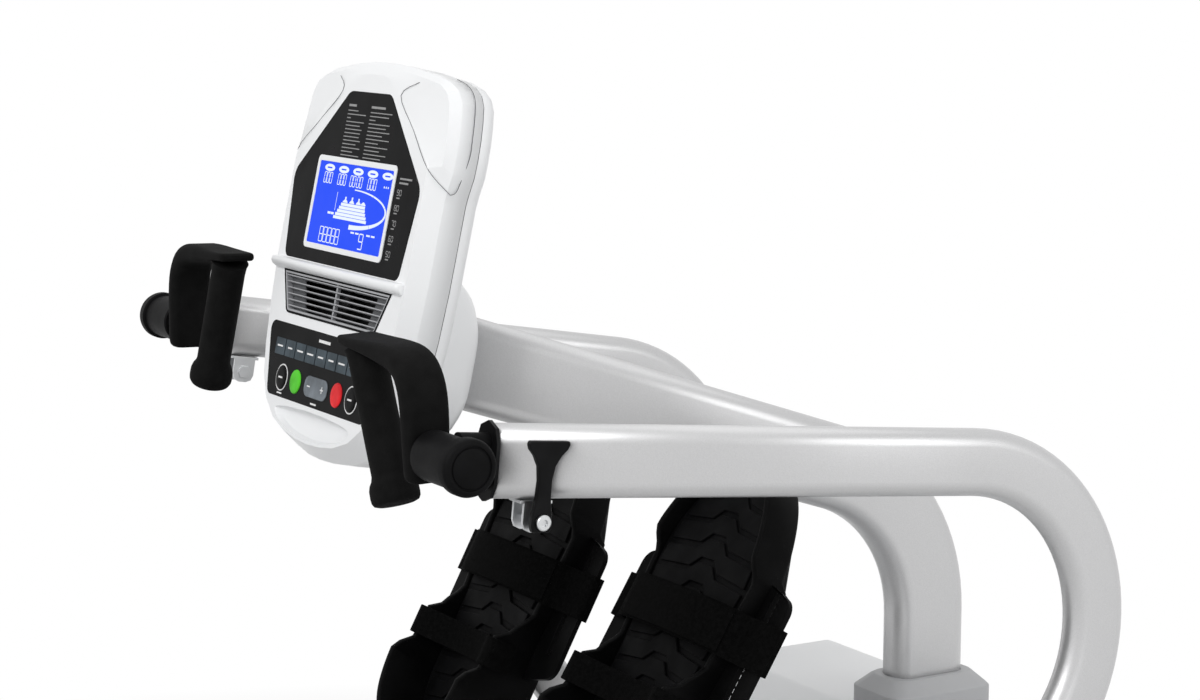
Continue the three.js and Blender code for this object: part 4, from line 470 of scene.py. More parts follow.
def make_mast():
    sizes = bpy.context.scene.stepper_sizes
    silver = silver_paint()
    section = rounded_section(sizes.mast_width / MM, sizes.mast_height / MM, MAST["corner"], 8)
    tube("mast_tube", section, MAST["start"], -MAST["fall"], mast_legs(), MAST["wall"],
         Matrix.Identity(4), silver, "base", ("mast",))
    steel = metal("bearing_steel", (0.5, 0.5, 0.5), 0.3)
    bm = bmesh.new()
    for (x, z), radius, half in MAST_BEARINGS:
        lathe(bm, boss_profile(radius, BEARING_BORE, half), "Y", (x, 0.0, z), 40)
    block(bm, *BEARING_ARM)
    finished(bm, "mast_bearings", Matrix.Identity(4), steel, "base")
    bm = bmesh.new()
    for low, high in CALIPER:
        block(bm, low, high)
    finished(bm, "brake_caliper", Matrix.Identity(4), black_plastic(), "base",
             bevel=(1.5, 2))
    grey = plain("boot_grey", (0.47, 0.475, 0.485), 0.5)
    tinted(grey, noise_on(grey, 8.0), (0.455, 0.46, 0.47), (0.485, 0.49, 0.50))
    bump(grey, noise_on(grey, 1200.0), 0.08, 0.0001)
    refined("mast_boot", grey, 2.0, 3)


def block(bm, low, high):
    middle = [(a + b) / 2.0 for a, b in zip(low, high)]
    size = [b - a for a, b in zip(low, high)]
    bmesh.ops.create_cube(bm, size=1.0, matrix=Matrix.Translation(middle) @ Matrix.Diagonal((*size, 1.0)))


# Arm: rise from the axle in degrees, then its lower leg, bend and upper leg
ARM = {"rise": 56.1, "lower": 360.0, "bend": 184.0, "upper": 562.0, "wall": 3.0}
# Bosses round the axle as (radius, half length), and the bore of each swinging side
ARM_BOSS = (46.0, 20.0)
LEVER_BOSS = (38.0, 18.0)
BORES = {"swing_a": 17.8, "swing_b": 25.3}


def arm_legs():
    return [("straight", ARM["lower"]), ("bend", ARM["bend"], 180.0 - ARM_FALL - ARM["rise"]),
            ("straight", ARM["upper"])]


def route_end(start, heading, legs):
    place = Vector((start[0], start[1]))
    for leg in legs:
        if leg[0] == "straight":
            place += Vector((math.cos(math.radians(heading)), math.sin(math.radians(heading)))) * leg[1]
            continue
        side = 1.0 if leg[2] > 0 else -1.0
        first = math.radians(heading - 90.0 * side)
        centre = place - Vector((math.cos(first), math.sin(first))) * leg[1]
        last = first + math.radians(leg[2])
        place = centre + Vector((math.cos(last), math.sin(last))) * leg[1]
        heading += leg[2]
    return place


def side_matrix(side, swing):
    flip = Matrix.Identity(4) if side > 0 else Matrix.Scale(-1.0, 4, (0.0, 1.0, 0.0))
    return swing_matrix(swing) @ flip


def arm_end_matrix(side):
    end = route_end((0.0, 0.0), ARM["rise"], arm_legs())
    return (side_matrix(side, side) @ Matrix.Translation((end.x, ARM_OFFSET, end.y))
            @ Matrix.Rotation(math.radians(ARM_FALL), 4, "Y"))


def swing_of_arm(side):
    return "swing_b" if side > 0 else "swing_a"


def swing_of_pedal(side):
    return "swing_a" if side > 0 else "swing_b"


def make_arms():
    sizes = bpy.context.scene.stepper_sizes
    silver = silver_paint()
    section = rounded_section(sizes.tube_width / MM, sizes.tube_height / MM, sizes.tube_corner / MM, 9)
    radius, half = ARM_BOSS
    for name, side in SIDES:
        body, matrix = swing_of_arm(side), side_matrix(side, side)
        tube(name + "_arm_tube", section, (0.0, 0.0), ARM["rise"], arm_legs(), ARM["wall"], matrix, silver,
             body, (name + "_arm",), y=ARM_OFFSET)
        bm = bmesh.new()
        lathe(bm, boss_profile(radius, BORES[body], half), "Y", (0.0, ARM_OFFSET, 0.0), 64)
        finished(bm, name + "_arm_boss", matrix, silver, body)


# Cam clamp under the arm's end: its pin, and the cap on it as (radius, along)
CLAMP_PIN = (47.0, 0.0, -53.3)
CLAMP_CAP = [(0.0, 24.8), (6.0, 24.8), (7.5, 25.6), (7.5, 28.4), (6.4, 29.4), (3.4, 29.4), (3.0, 27.4),
             (0.0, 27.4)]
# Cam lever: height over the pin, half width and how far it leans out
LEVER_ROWS = [
    (-10.0, 9.0, 0.0), (-4.0, 11.0, 0.0), (8.0, 10.0, 0.0), (22.0, 7.6, 0.2), (38.0, 7.0, 0.8),
    (52.0, 9.0, 1.6), (62.0, 14.5, 2.4), (68.0, 20.0, 3.0), (72.5, 21.8, 3.6), (76.0, 20.5, 4.0)]
LEVER = {"inner": 17.8, "thick": 7.0}


def make_arm_ends():
    black = black_plastic("bush_black", 0.38)
    zinc = metal("clamp_zinc", (0.62, 0.63, 0.64), 0.34)
    for name, side in SIDES:
        body = swing_of_arm(side)
        matrix = arm_end_matrix(side)
        refined(name + "_arm_bush", black, 1.2, 3)
        refined(name + "_clamp_bracket", zinc, 0.8, 2)
        bm = bmesh.new()
        lever_blade(bm)
        finished(bm, name + "_clamp_blade", matrix, black_plastic("lever_black", 0.35), name + "_clamp",
                 (name + "_clamp_lever",), bevel=(1.6, 4))
        bm = bmesh.new()
        lathe(bm, CLAMP_CAP, "Y", CLAMP_PIN, 24)
        finished(bm, name + "_clamp_cap", matrix, zinc, body)


def lever_blade(bm):
    """A cam lever: round foot on the pin, slim neck and a broad head that leans out a little."""
    middle, _, low = CLAMP_PIN
    near, far = [], []
    for up, half, lean in LEVER_ROWS:
        inner = LEVER["inner"] + lean
        for side, y in ((near, inner), (far, inner + LEVER["thick"])):
            side.append([bm.verts.new((middle + x, y, low + up)) for x in (-half, half)])
    for side in (near, far):
        for (a, b), (c, d) in zip(side, side[1:]):
            bm.faces.new((a, b, d, c))
    for k in (0, 1):
        for i in range(len(LEVER_ROWS) - 1):
            bm.faces.new((near[i][k], near[i + 1][k], far[i + 1][k], far[i][k]))
    for i in (0, -1):
        bm.faces.new((near[i][0], near[i][1], far[i][1], far[i][0]))


# Handles

# Middle line of the hook, from its foot at the hub to its tip: across, up, width, thickness
HOOK = [
    (-43.0, -27.0, 30.0, 15.0), (-43.0, -25.0, 38.0, 18.0), (-43.0, -18.0, 44.0, 19.0),
    (-43.0, 10.0, 46.0, 19.5), (-43.0, 38.0, 47.0, 20.0), (-47.0, 60.0, 47.0, 22.0),
    (-58.0, 76.0, 46.0, 24.0), (-76.0, 84.0, 45.0, 23.0), (-104.0, 87.0, 44.0, 19.0),
    (-134.0, 88.5, 43.0, 14.0), (-165.0, 89.5, 43.0, 10.0), (-184.0, 90.0, 40.0, 9.0),
    (-188.5, 90.2, 34.0, 6.0), (-190.0, 90.3, 26.0, 3.0)]
HOOK_CORNER = 0.42
GRIP = {"top": (-165.0, 84.0), "foot": (-109.0, -60.0), "radius": 18.8, "flare": 24.0}
STEM = {"width": 20.0, "height": 52.0, "corner": 9.0, "start": -34.0, "length": 154.0}
# Cross barrel with its cap, as (radius, along)
BARREL = [
    (14.0, -46.0), (14.0, -29.0), (22.5, -29.0), (24.0, -27.5), (24.0, 31.0), (22.0, 32.0), (25.5, 32.3),
    (27.0, 33.5), (27.0, 42.5), (26.2, 45.4), (24.0, 47.4), (21.6, 48.0), (20.6, 47.6), (20.2, 46.2),
    (18.8, 46.2), (18.4, 47.2), (17.4, 47.6), (0.0, 48.0)]


def make_handles():
    black = black_plastic("stem_black", 0.5, 0.3, None, 0.05)
    cover = foam()
    for name, side in SIDES:
        matrix = arm_end_matrix(side)
        bm = bmesh.new()
        section = rounded_section(STEM["width"], STEM["height"], STEM["corner"], 6)
        swept(bm, section, (STEM["start"], 0.0), 0.0, [("straight", STEM["length"])])
        bmesh.ops.holes_fill(bm, edges=bm.edges, sides=0)
        lathe(bm, BARREL, "Y", (-HUB_BACK, 0.0, 0.0), 64)
        finished(bm, name + "_stem_barrel", matrix, black, name + "_stem",
                 (name + "_handle_stem",), 38.0)
        bm = bmesh.new()
        hook_shape(bm)
        hub = matrix @ Matrix.Translation((-HUB_BACK, 0.0, 0.0))
        upright = hub @ Matrix.Rotation(math.radians(-ARM_FALL), 4, "Y")
        finished(bm, name + "_hook", upright, cover, name + "_grip", (name + "_handle_grip",), 50.0)


def hook_shape(bm):
    """A foam-covered band that rises from the hub, bends over and ends as a cap on the round grip."""
    rows = smooth_line(HOOK, 3)
    rings = []
    for i, (y, z, width, thick) in enumerate(rows):
        before, after = Vector(rows[max(i - 1, 0)][:2]), Vector(rows[min(i + 1, len(rows) - 1)][:2])
        along = (after - before).normalized()
        section = rounded_section(width, thick, min(thick, width) * HOOK_CORNER, 5)
        rings.append([(a, y - b * along.y, z + b * along.x) for a, b in section])
    lofted(bm, rings)
    (top_y, top_z), (foot_y, foot_z) = GRIP["top"], GRIP["foot"]
    length = math.hypot(top_y - foot_y, top_z - foot_z)
    radius, flare = GRIP["radius"], GRIP["flare"]
    grip = bmesh.new()
    lathe(grip, [(0.0, 0.0), (flare - 6.0, 0.0), (flare - 2.2, 1.4), (flare - 0.4, 4.6), (flare, 8.5),
                 (flare - 0.2, 16.0), (flare - 1.6, 21.0), (radius + 1.2, 25.0), (radius, 29.5),
                 (radius, length - 14.0), (radius + 0.7, length - 5.0), (radius + 2.0, length - 1.0),
                 (0.0, length)])
    lean = math.atan2(foot_y - top_y, top_z - foot_z)
    joined(bm, grip, Matrix.Translation((0.0, foot_y, foot_z)) @ Matrix.Rotation(lean, 4, "X"))


def joined(bm, other, matrix):
    """Adds another shape to this one at a place, and frees it."""
    bmesh.ops.transform(other, matrix=matrix, verts=other.verts)
    mesh = bpy.data.meshes.new("part")
    other.to_mesh(mesh)
    other.free()
    bm.from_mesh(mesh)
    bpy.data.meshes.remove(mesh)


def loop_of(bm, points):
    verts = [bm.verts.new(point) for point in points]
    return [bm.edges.new((verts[i], verts[(i + 1) % len(verts)])) for i in range(len(verts))]


def skinned(bm, rings):
    """Extrudes the first ring of points to each of the next ones; returns each ring's edges."""
    edges = loop_of(bm, rings[0])
    loops = [edges]
    verts = ring_verts(edges)
    for ring in rings[1:]:
        made = bmesh.ops.extrude_edge_only(bm, edges=edges)["geom"]
        new = set(made_verts(made))
        verts = [next(e.other_vert(v) for e in v.link_edges if e.other_vert(v) in new) for v in verts]
        for vert, point in zip(verts, ring):
            vert.co = point
        edges = [bm.edges.get((verts[i], verts[(i + 1) % len(verts)])) for i in range(len(verts))]
        loops.append(edges)
    return loops


def ring_verts(edges):
    verts = []
    for i, edge in enumerate(edges):
        shared = set(edge.verts) & set(edges[i - 1].verts)
        verts.append(shared.pop())
    return verts


def lofted(bm, rings):
    """Skins rings of points and closes both ends."""
    loops = skinned(bm, rings)
    for loop in (loops[0], loops[-1]):
        bmesh.ops.contextual_create(bm, geom=loop)


def cut_plate(bm, outline, holes, low, high):
    """A plate with holes: outlines in XY, thick from low to high."""
    edges = []
    for points in [outline, *holes]:
        edges += loop_of(bm, [(x, y, low) for x, y in points])
    made = bmesh.ops.triangle_fill(bm, use_beauty=True, use_dissolve=True, edges=edges)["geom"]
    faces = [f for f in made if isinstance(f, bmesh.types.BMFace)]
    grown = bmesh.ops.extrude_face_region(bm, geom=faces, use_keep_orig=True)["geom"]
    bmesh.ops.translate(bm, vec=(0.0, 0.0, high - low), verts=made_verts(grown))


def rounded(corners, steps=6):
    """Rounds the corners of an outline of (x, y, radius)."""
    points = []
    count = len(corners)
    for i, (x, y, radius) in enumerate(corners):
        corner = Vector((x, y))
        if not radius:
            points.append((x, y))
            continue
        back = (Vector(corners[i - 1][:2]) - corner).normalized()
        ahead = (Vector(corners[(i + 1) % count][:2]) - corner).normalized()
        half = math.acos(max(-1.0, min(1.0, back.dot(ahead)))) / 2.0
        first = corner + back * (radius / math.tan(half))
        last = corner + ahead * (radius / math.tan(half))
        centre = corner + (back + ahead).normalized() * (radius / math.sin(half))
        start = math.atan2(first.y - centre.y, first.x - centre.x)
        sweep = math.atan2(last.y - centre.y, last.x - centre.x) - start
        sweep = (sweep + math.pi) % (2.0 * math.pi) - math.pi
        for k in range(steps + 1):
            angle = start + sweep * k / steps
            points.append((centre.x + radius * math.cos(angle), centre.y + radius * math.sin(angle)))
    return points


def rectangle(x0, y0, x1, y1, radius=0.0, steps=6):
    return rounded([(x0, y0, radius), (x1, y0, radius), (x1, y1, radius), (x0, y1, radius)], steps)


def offset_outline(points, distance):
    """Moves an outline outwards by a distance, inwards when it is negative."""
    moved = []
    count = len(points)
    for i, point in enumerate(points):
        here = Vector(point)
        first = (here - Vector(points[i - 1])).normalized()
        second = (Vector(points[(i + 1) % count]) - here).normalized()
        normal = Vector((first.y + second.y, -first.x - second.x)).normalized()
        share = max(normal.dot(Vector((first.y, -first.x))), 0.3)
        moved.append(tuple(here + normal * (distance / share)))
    return moved


def smooth_line(points, steps, closed=False):
    """A Catmull-Rom line through points, with so many steps between two of them."""
    line = []
    count = len(points)
    spans = count if closed else count - 1
    for i in range(spans):
        if closed:
            p = [Vector(points[(i + k) % count]) for k in (-1, 0, 1, 2)]
        else:
            p = [Vector(points[max(0, min(count - 1, i + k))]) for k in (-1, 0, 1, 2)]
        for k in range(steps):
            t = k / steps
            line.append(tuple(0.5 * (
                2.0 * p[1] + (p[2] - p[0]) * t + (2.0 * p[0] - 5.0 * p[1] + 4.0 * p[2] - p[3]) * t * t
                + (3.0 * p[1] - p[0] - 3.0 * p[2] + p[3]) * t * t * t)))
    if not closed:
        line.append(tuple(points[-1]))
    return line


def eased(value, table):
    """Reads a table of (place, height) with smooth steps between its rows."""
    if value <= table[0][0]:
        return table[0][1]
    for (x0, y0), (x1, y1) in zip(table, table[1:]):
        if value <= x1:
            t = (value - x0) / (x1 - x0)
            return y0 + (y1 - y0) * t * t * (3.0 - 2.0 * t)
    return table[-1][1]


# Pedals, drawn with x to the toe and z out of the sole

PEDAL = {"heel": 165.0, "toe": 235.0, "half": 91.0, "wall": 8.0, "depth": 42.0, "shallow": 30.0, "floor": 6.0}
FOOT_SHARES = [
    (0.0, 0.3), (0.025, 0.55), (0.08, 0.76), (0.17, 0.86), (0.3, 0.86), (0.42, 0.88), (0.55, 0.94),
    (0.67, 1.0), (0.77, 0.97), (0.86, 0.83), (0.93, 0.64), (0.98, 0.4), (1.0, 0.2)]
RIM = [(-86.0, 60.0), (-62.0, 38.0), (-28.0, 38.0), (-12.0, 18.0), (13.0, 3.0), (110.0, 3.0), (139.0, 18.0)]
UNDERSIDE = [(118.0, -42.0), (132.0, -30.0)]


def pedal_matrix(side):
    return (swing_matrix(-side) @ Matrix.Translation((-PEDAL_BACK, side * PEDAL_OFFSET, PEDAL_RISE))
            @ Matrix.Rotation(math.radians(-PEDAL_SLOPE), 4, "Y"))


def foot_outline():
    reach = PEDAL["heel"] + PEDAL["toe"]
    half = [(-PEDAL["heel"] + a * reach, -b * PEDAL["half"]) for a, b in FOOT_SHARES]
    return smooth_line(half + [(s, -y) for s, y in reversed(half)], 5, True)


def shell_shape(bm):
    inner = foot_outline()

    def ring(grown, height):
        return [(*point, height(point[0])) for point in offset_outline(inner, grown)]

    def rim(drop):
        return lambda s: eased(s, RIM) - drop

    def under(rise):
        return lambda s: eased(s, UNDERSIDE) + rise

    wall = PEDAL["wall"]
    lofted(bm, [
        ring(wall - 5.0, under(0.0)), ring(wall - 1.4, under(1.4)), ring(wall, under(5.0)),
        ring(wall, rim(2.4)), ring(wall - 0.8, rim(0.7)), ring(wall - 2.6, rim(0.0)),
        ring(2.6, rim(0.0)), ring(0.8, rim(0.7)), ring(0.0, rim(2.4)),
        ring(0.0, lambda s: -PEDAL["floor"] + 3.0), ring(-3.0, lambda s: -PEDAL["floor"])])


# Wing at each side of the shell as (along, across, corner), its thickness, and its toothed slot
WING = [(-62.0, 70.0, 0.0), (128.0, 70.0, 0.0), (110.0, 143.0, 18.0), (-44.0, 143.0, 18.0)]
WING_LOW, WING_HIGH = -24.0, -18.0
SLOT = {"near": 111.5, "far": 119.5, "start": -20.0, "pitch": 8.0, "tooth": 2.0, "teeth": 17}


def wing_shape(bm, side):
    near, far, start, pitch = SLOT["near"], SLOT["far"], SLOT["start"], SLOT["pitch"]
    tip = far - SLOT["tooth"]
    slot = [(start, near), (start + SLOT["teeth"] * pitch, near)]
    for i in reversed(range(SLOT["teeth"])):
        s = start + i * pitch
        slot += [(s + pitch, far), (s + pitch * 0.72, far), (s + pitch * 0.58, tip),
                 (s + pitch * 0.42, tip), (s + pitch * 0.28, far)]
    slot.append((start, far))
    outline = [(x, side * y) for x, y in rounded(WING, 8)]
    cut_plate(bm, outline, [[(x, side * y) for x, y in slot]], WING_LOW, WING_HIGH)


# Foot bed: the mat, its ribs, and the lever and plate that carry the shell
MAT = {"inset": 0.8, "low": -5.7, "high": -0.7}
TREAD = {"pitch": 28.3, "first": -118.0, "bar": 22.0, "rise": 13.0, "peak": 13.0, "foot": 27.0, "count": 12,
         "low": -2.0, "high": 2.3, "bow": 5.0, "inset": 8.0}
LEVER_SECTION = (30.0, 50.0, 8.0, 6)
LEVER_LEGS = [("straight", 121.5), ("bend", 150.0, 16.0), ("straight", 178.0)]
LEVER_RISE = 108.0
LEVER_WALL = 3.0
SOLE = {"half": (60.0, 45.0), "corner": 16.0, "low": -50.3, "high": -42.3}
BOLT = {"place": (42.0, 30.0), "radius": 7.5, "depth": 5.0, "middle": -52.8}


def bed_half(s):
    """Half width of the foot bed at a place along it."""
    share = (s + PEDAL["heel"]) / (PEDAL["heel"] + PEDAL["toe"])
    return PEDAL["half"] * eased(share, FOOT_SHARES) - TREAD["inset"]


def tread_bar(s):
    """A rib across the bed that steps towards the toe in its middle."""
    low, high, foot, peak = bed_half(s), bed_half(s + TREAD["bar"]), TREAD["foot"], TREAD["peak"]
    up, bow = s + TREAD["rise"], s - TREAD["bow"]
    line = [(bow, -low), (s, -foot), (up, -peak), (up, peak), (s, foot), (bow, low)]
    back = [(x + TREAD["bar"], y) for x, y in reversed(line)]
    back[0], back[-1] = (bow + TREAD["bar"], high), (bow + TREAD["bar"], -high)
    return line + back


def make_pedals():
    black = black_plastic("pedal_black", 0.46, 0.2, (0.0024, 0.0024, 0.0025), 0.04)
    mat = rubber()
    silver = silver_paint()
    section = rounded_section(*LEVER_SECTION)
    radius, half = LEVER_BOSS
    for name, side in SIDES:
        body = swing_of_pedal(side)
        matrix = pedal_matrix(side)
        bm = bmesh.new()
        shell_shape(bm)
        for way in (-1, 1):
            wing_shape(bm, way)
        finished(bm, name + "_pedal", matrix, black, body, (name + "_pedal_shell",), 40.0,
                 (0.9, 2))
        bm = bmesh.new()
        plate(bm, offset_outline(foot_outline(), -MAT["inset"]), MAT["low"], MAT["high"])
        for i in range(TREAD["count"]):
            plate(bm, tread_bar(TREAD["first"] + i * TREAD["pitch"]), TREAD["low"], TREAD["high"])
        finished(bm, name + "_mat", matrix, mat, body, (name + "_footbed",), 40.0, (1.1, 3))
        tube(name + "_lever_tube", section, (0.0, 0.0), LEVER_RISE, LEVER_LEGS, LEVER_WALL,
             swing_matrix(-side), silver, body, (name + "_pedal_lever",), y=side * PEDAL_OFFSET)
        bm = bmesh.new()
        lathe(bm, boss_profile(radius, BORES[body], half), "Y", (0.0, side * PEDAL_OFFSET, 0.0), 48)
        finished(bm, name + "_lever_boss", swing_matrix(-side), silver, body)
        bm = bmesh.new()
        long, wide = SOLE["half"]
        plate(bm, rectangle(-long, -wide, long, wide, SOLE["corner"]), SOLE["low"], SOLE["high"])
        bolt_x, bolt_y = BOLT["place"]
        for x in (-bolt_x, bolt_x):
            for y in (-bolt_y, bolt_y):
                bmesh.ops.create_cone(bm, cap_ends=True, segments=6, radius1=BOLT["radius"],
                                      radius2=BOLT["radius"], depth=BOLT["depth"],
                                      matrix=Matrix.Translation((x, y, BOLT["middle"])))
        finished(bm, name + "_sole_plate", matrix, silver, body, bevel=(0.8, 2))


def band(bm, line, thick, low, high):
    """A strap along a line of (y, z), between two places along the foot."""
    strips = []
    for side in (0.5, -0.5):
        row = []
        for i, point in enumerate(line):
            before = Vector(line[max(i - 1, 0)])
            after = Vector(line[min(i + 1, len(line) - 1)])
            along = (after - before).normalized()
            row.append((point[0] - side * thick * along.y, point[1] + side * thick * along.x))
        strips.append(row)
    outline = strips[0] + strips[1][::-1]
    verts = [bm.verts.new((low, y, z)) for y, z in outline]
    count = len(line)
    faces = [bm.faces.new((verts[i], verts[i + 1], verts[2 * count - 2 - i], verts[2 * count - 1 - i]))
             for i in range(count - 1)]
    made = bmesh.ops.extrude_face_region(bm, geom=faces, use_keep_orig=True)["geom"]
    bmesh.ops.translate(bm, vec=(high - low, 0.0, 0.0), verts=made_verts(made))


STRAP_THICK = 3.2
# Half of each strap's line from its foot to near the middle, as (y, z)
TOE_STRAP = [(115.5, -27.2), (143.0, -27.2), (146.2, -21.0), (143.0, -14.8), (106.2, -8.4), (94.2, 9.4),
             (102.2 * 0.55, 22.1)]
HEEL_STRAP = [(92.8, 8.0), (92.8, 34.8), (87.3, 41.8), (75.3, 39.6), (91.3 * 0.45, 19.5)]
# Name, half line, height over the middle, and where it begins and ends along the foot
STRAPS = (("toe", TOE_STRAP, 26.0, 29.0, 81.0), ("heel", HEEL_STRAP, 15.0, -62.0, -28.0))
TONGUE = {"start": 70.0, "end": -98.0, "rise": 3.0, "thick": 2.6, "hem": 2.5}


def tongue_line(line, rise):
    """The part of a strap's line under its closing flap, raised by a distance."""
    raised = []
    for i, point in enumerate(line):
        if not TONGUE["end"] <= point[0] <= TONGUE["start"]:
            continue
        along = (Vector(line[min(i + 1, len(line) - 1)]) - Vector(line[max(i - 1, 0)])).normalized()
        raised.append((point[0] + rise * along.y, point[1] - rise * along.x))
    return raised


def make_straps():
    web = webbing()
    for name, side in SIDES:
        for part, half, middle, low, high in STRAPS:
            line = smooth_line(half + [(0.0, middle)] + [(-y, z) for y, z in reversed(half)], 9)
            bm = bmesh.new()
            band(bm, line, STRAP_THICK, low, high)
            if part == "toe":
                flap = tongue_line(line, TONGUE["rise"])
                band(bm, flap, TONGUE["thick"], low + TONGUE["hem"], high - TONGUE["hem"])
            finished(bm, name + "_" + part + "_band", pedal_matrix(side), web, swing_of_pedal(side),
                     (name + "_" + part + "_strap",), 50.0, (0.9, 2))


# Console, drawn on its face: x to the user's right, y up the face, z to the user

CONSOLE = {"seam": 44.0, "gap": 0.9, "rear": 60.0, "wall": 3.0, "return": 14.0}
# Upper right of the front shell from the top down. Each row runs outwards from the flat front: its edge,
# the foot of the step, the edge of the lid and the rim, as x, y and how far behind the front it lies.
LID_ROWS = [
    ((0.0, 345.0, 0.0), (0.0, 349.0, 2.0), (0.0, 354.0, 5.0), (0.0, 360.0, 11.0)),
    ((22.0, 344.5, 0.0), (23.0, 348.5, 2.0), (25.0, 353.7, 5.0), (27.0, 359.6, 11.0)),
    ((42.0, 341.5, 0.0), (46.0, 346.5, 2.0), (52.0, 351.5, 5.0), (57.0, 357.8, 11.0)),
    ((57.0, 335.0, 0.0), (72.0, 342.0, 4.0), (84.0, 348.5, 6.0), (90.0, 354.0, 12.0)),
    ((68.0, 326.0, 0.0), (104.0, 333.0, 7.5), (118.0, 344.0, 8.0), (122.0, 350.5, 14.0)),
    ((69.0, 325.0, 0.0), (108.0, 326.5, 8.0), (136.0, 341.5, 8.0), (143.0, 345.5, 16.0)),
    ((90.0, 309.0, 0.0), (120.0, 309.0, 7.0), (152.0, 334.5, 8.0), (158.0, 338.0, 18.0)),
    ((112.0, 292.0, 0.0), (132.0, 292.0, 5.5), (161.0, 324.5, 8.5), (167.0, 327.0, 20.0)),
    ((130.0, 278.5, 0.0), (143.0, 278.5, 4.0), (165.5, 310.5, 9.0), (171.5, 311.0, 20.0)),
    ((145.0, 267.0, 0.0), (151.0, 267.0, 2.4), (168.5, 294.0, 9.0), (174.5, 292.5, 20.0)),
    ((153.0, 261.0, 0.0), (156.0, 261.0, 1.2), (170.5, 277.0, 9.0), (175.5, 273.5, 20.0)),
    ((157.0, 258.0, 0.0), (159.0, 257.5, 1.2), (170.5, 261.0, 9.0), (175.0, 256.0, 20.0))]
# The side and the foot: the front's edge as x, y, then the rim as x, y, depth
SIDE_ROWS = [
    (157.6, 250.0, 170.0, 238.0, 20.0), (158.0, 236.0, 168.0, 226.0, 20.0),
    (158.0, 200.0, 168.0, 200.0, 20.0), (157.6, 140.0, 167.8, 140.0, 20.0),
    (153.0, 88.0, 164.6, 88.0, 20.0), (146.5, 45.0, 157.0, 40.0, 30.0), (137.0, 12.0, 148.0, 4.0, 31.0),
    (121.0, -12.0, 129.5, -25.0, 30.0), (95.0, -30.0, 100.0, -44.0, 27.0),
    (62.0, -40.5, 64.5, -54.5, 22.0), (30.0, -44.5, 31.0, -59.0, 20.0), (0.0, -46.0, 0.0, -60.0, 19.0)]
SIDE_SHARES = (0.0, 0.3, 0.6, 1.0)
# Lid line round each upper corner: x, y, depth
LID = [
    (94.0, 341.5, 5.6), (69.5, 325.8, 0.0), (112.0, 292.4, 0.0), (157.2, 256.5, 0.2),
    (170.4, 237.0, 20.6), (170.8, 235.5, 25.0), (171.6, 239.0, 29.0), (173.2, 249.0, 31.0),
    (175.9, 274.0, 34.5), (174.8, 292.5, 34.5), (171.8, 311.0, 34.5), (167.3, 327.3, 34.5),
    (158.3, 338.4, 34.5), (143.0, 346.0, 34.5), (122.0, 351.0, 33.0)]
LOBE = {"half": 98.0, "top": 172.0, "bottom": -50.0, "depth": 148.0, "corner": 92.0}
# Dome of the lobe: how far its outline draws in, and its share of the depth
LOBE_DOME = ((0.0, 0.0), (1.5, 0.2), (5.0, 0.4), (11.0, 0.6), (18.0, 0.76), (27.0, 0.89), (37.0, 0.97),
             (46.0, 1.0))
BEZEL = [(-139.0, 141.0, 10.0), (139.0, 141.0, 10.0), (153.0, 234.0, 20.0), (49.0, 326.0, 20.0),
         (-49.0, 326.0, 20.0), (-153.0, 234.0, 20.0)]
FAN = [(-108.0, 83.0, 8.0), (108.0, 83.0, 8.0), (131.0, 127.0, 0.0), (-131.0, 127.0, 0.0)]
KEYPAD = [(-120.0, -8.0, 10.0), (120.0, -8.0, 10.0), (142.0, 71.0, 10.0), (-142.0, 71.0, 10.0)]
BUTTON_ROW = 13.0
BUTTONS = {"fan": -88.0, "start": -52.0, "stop": 51.0, "enter": 86.0}
BUTTON_CAP = [(0.0, -6.0), (13.0, -6.0), (13.0, 0.6), (12.5, 1.5), (11.0, 2.0), (6.0, 1.9), (0.0, 1.8)]
BUTTON_RING = [(13.2, 0.2), (14.5, 0.2), (14.5, 0.8), (13.9, 1.1), (13.2, 0.8), (13.2, 0.2)]
LEVEL_KEY = (28.0, 11.0, 9.5)
KEY = {"first": -117.0, "pitch": 26.0, "count": 8, "width": 24.0, "bottom": 36.0, "top": 54.0}
SCOOP = {"half": 93.0, "middle": -20.0, "low": 22.0, "high": 7.0, "depth": 13.0,
         "rows": ((1.0, 0.0), (0.985, 0.12), (0.9, 0.44), (0.74, 0.68), (0.5, 0.87), (0.25, 0.97))}
# Section of the ledge as (out, up), its ends as (x, share of the section) and the height it shrinks to
LEDGE = [(-4.0, 127.0), (3.0, 128.0), (7.4, 130.6), (9.0, 132.6), (9.6, 134.4), (9.2, 137.4),
         (8.0, 138.8), (-4.0, 141.0)]
LEDGE_ENDS = ((-155.0, 0.6), (-153.8, 0.85), (-151.0, 1.0), (151.0, 1.0), (153.8, 0.85), (155.0, 0.6))
LEDGE_MIDDLE = 134.4
# Print lies just over the panels, and the signs of the level key just over it
PRINT_LIFT = Matrix.Translation((0.0, 0.0, 0.42))
SIGN_LIFT = Matrix.Translation((0.0, 0.0, 1.55))
SEGMENTS = {"0": "abcdef", "1": "bc", "2": "abged", "3": "abgcd", "4": "fgbc", "5": "afgcd", "6": "afgedc",
            "7": "abc", "8": "abcdefg", "9": "abcdfg", "-": "g"}


def console_rows():
    """The whole outline in rows of four points, from the bottom round by the right."""
    right = list(LID_ROWS)
    for front_x, front_y, rim_x, rim_y, depth in SIDE_ROWS:
        edge, rim = Vector((front_x, front_y, 0.0)), Vector((rim_x, rim_y, depth))
        right.append(tuple(tuple(edge.lerp(rim, share)) for share in SIDE_SHARES))
    left = [tuple((-x, y, depth) for x, y, depth in row) for row in right[1:-1]]
    return [tuple((x, y, -depth) for x, y, depth in row) for row in right[::-1] + left]


def console_rim(inset, depth):
    rim = [row[-1][:2] for row in console_rows()]
    return [(x, y, -depth) for x, y in offset_outline(rim, -inset)]


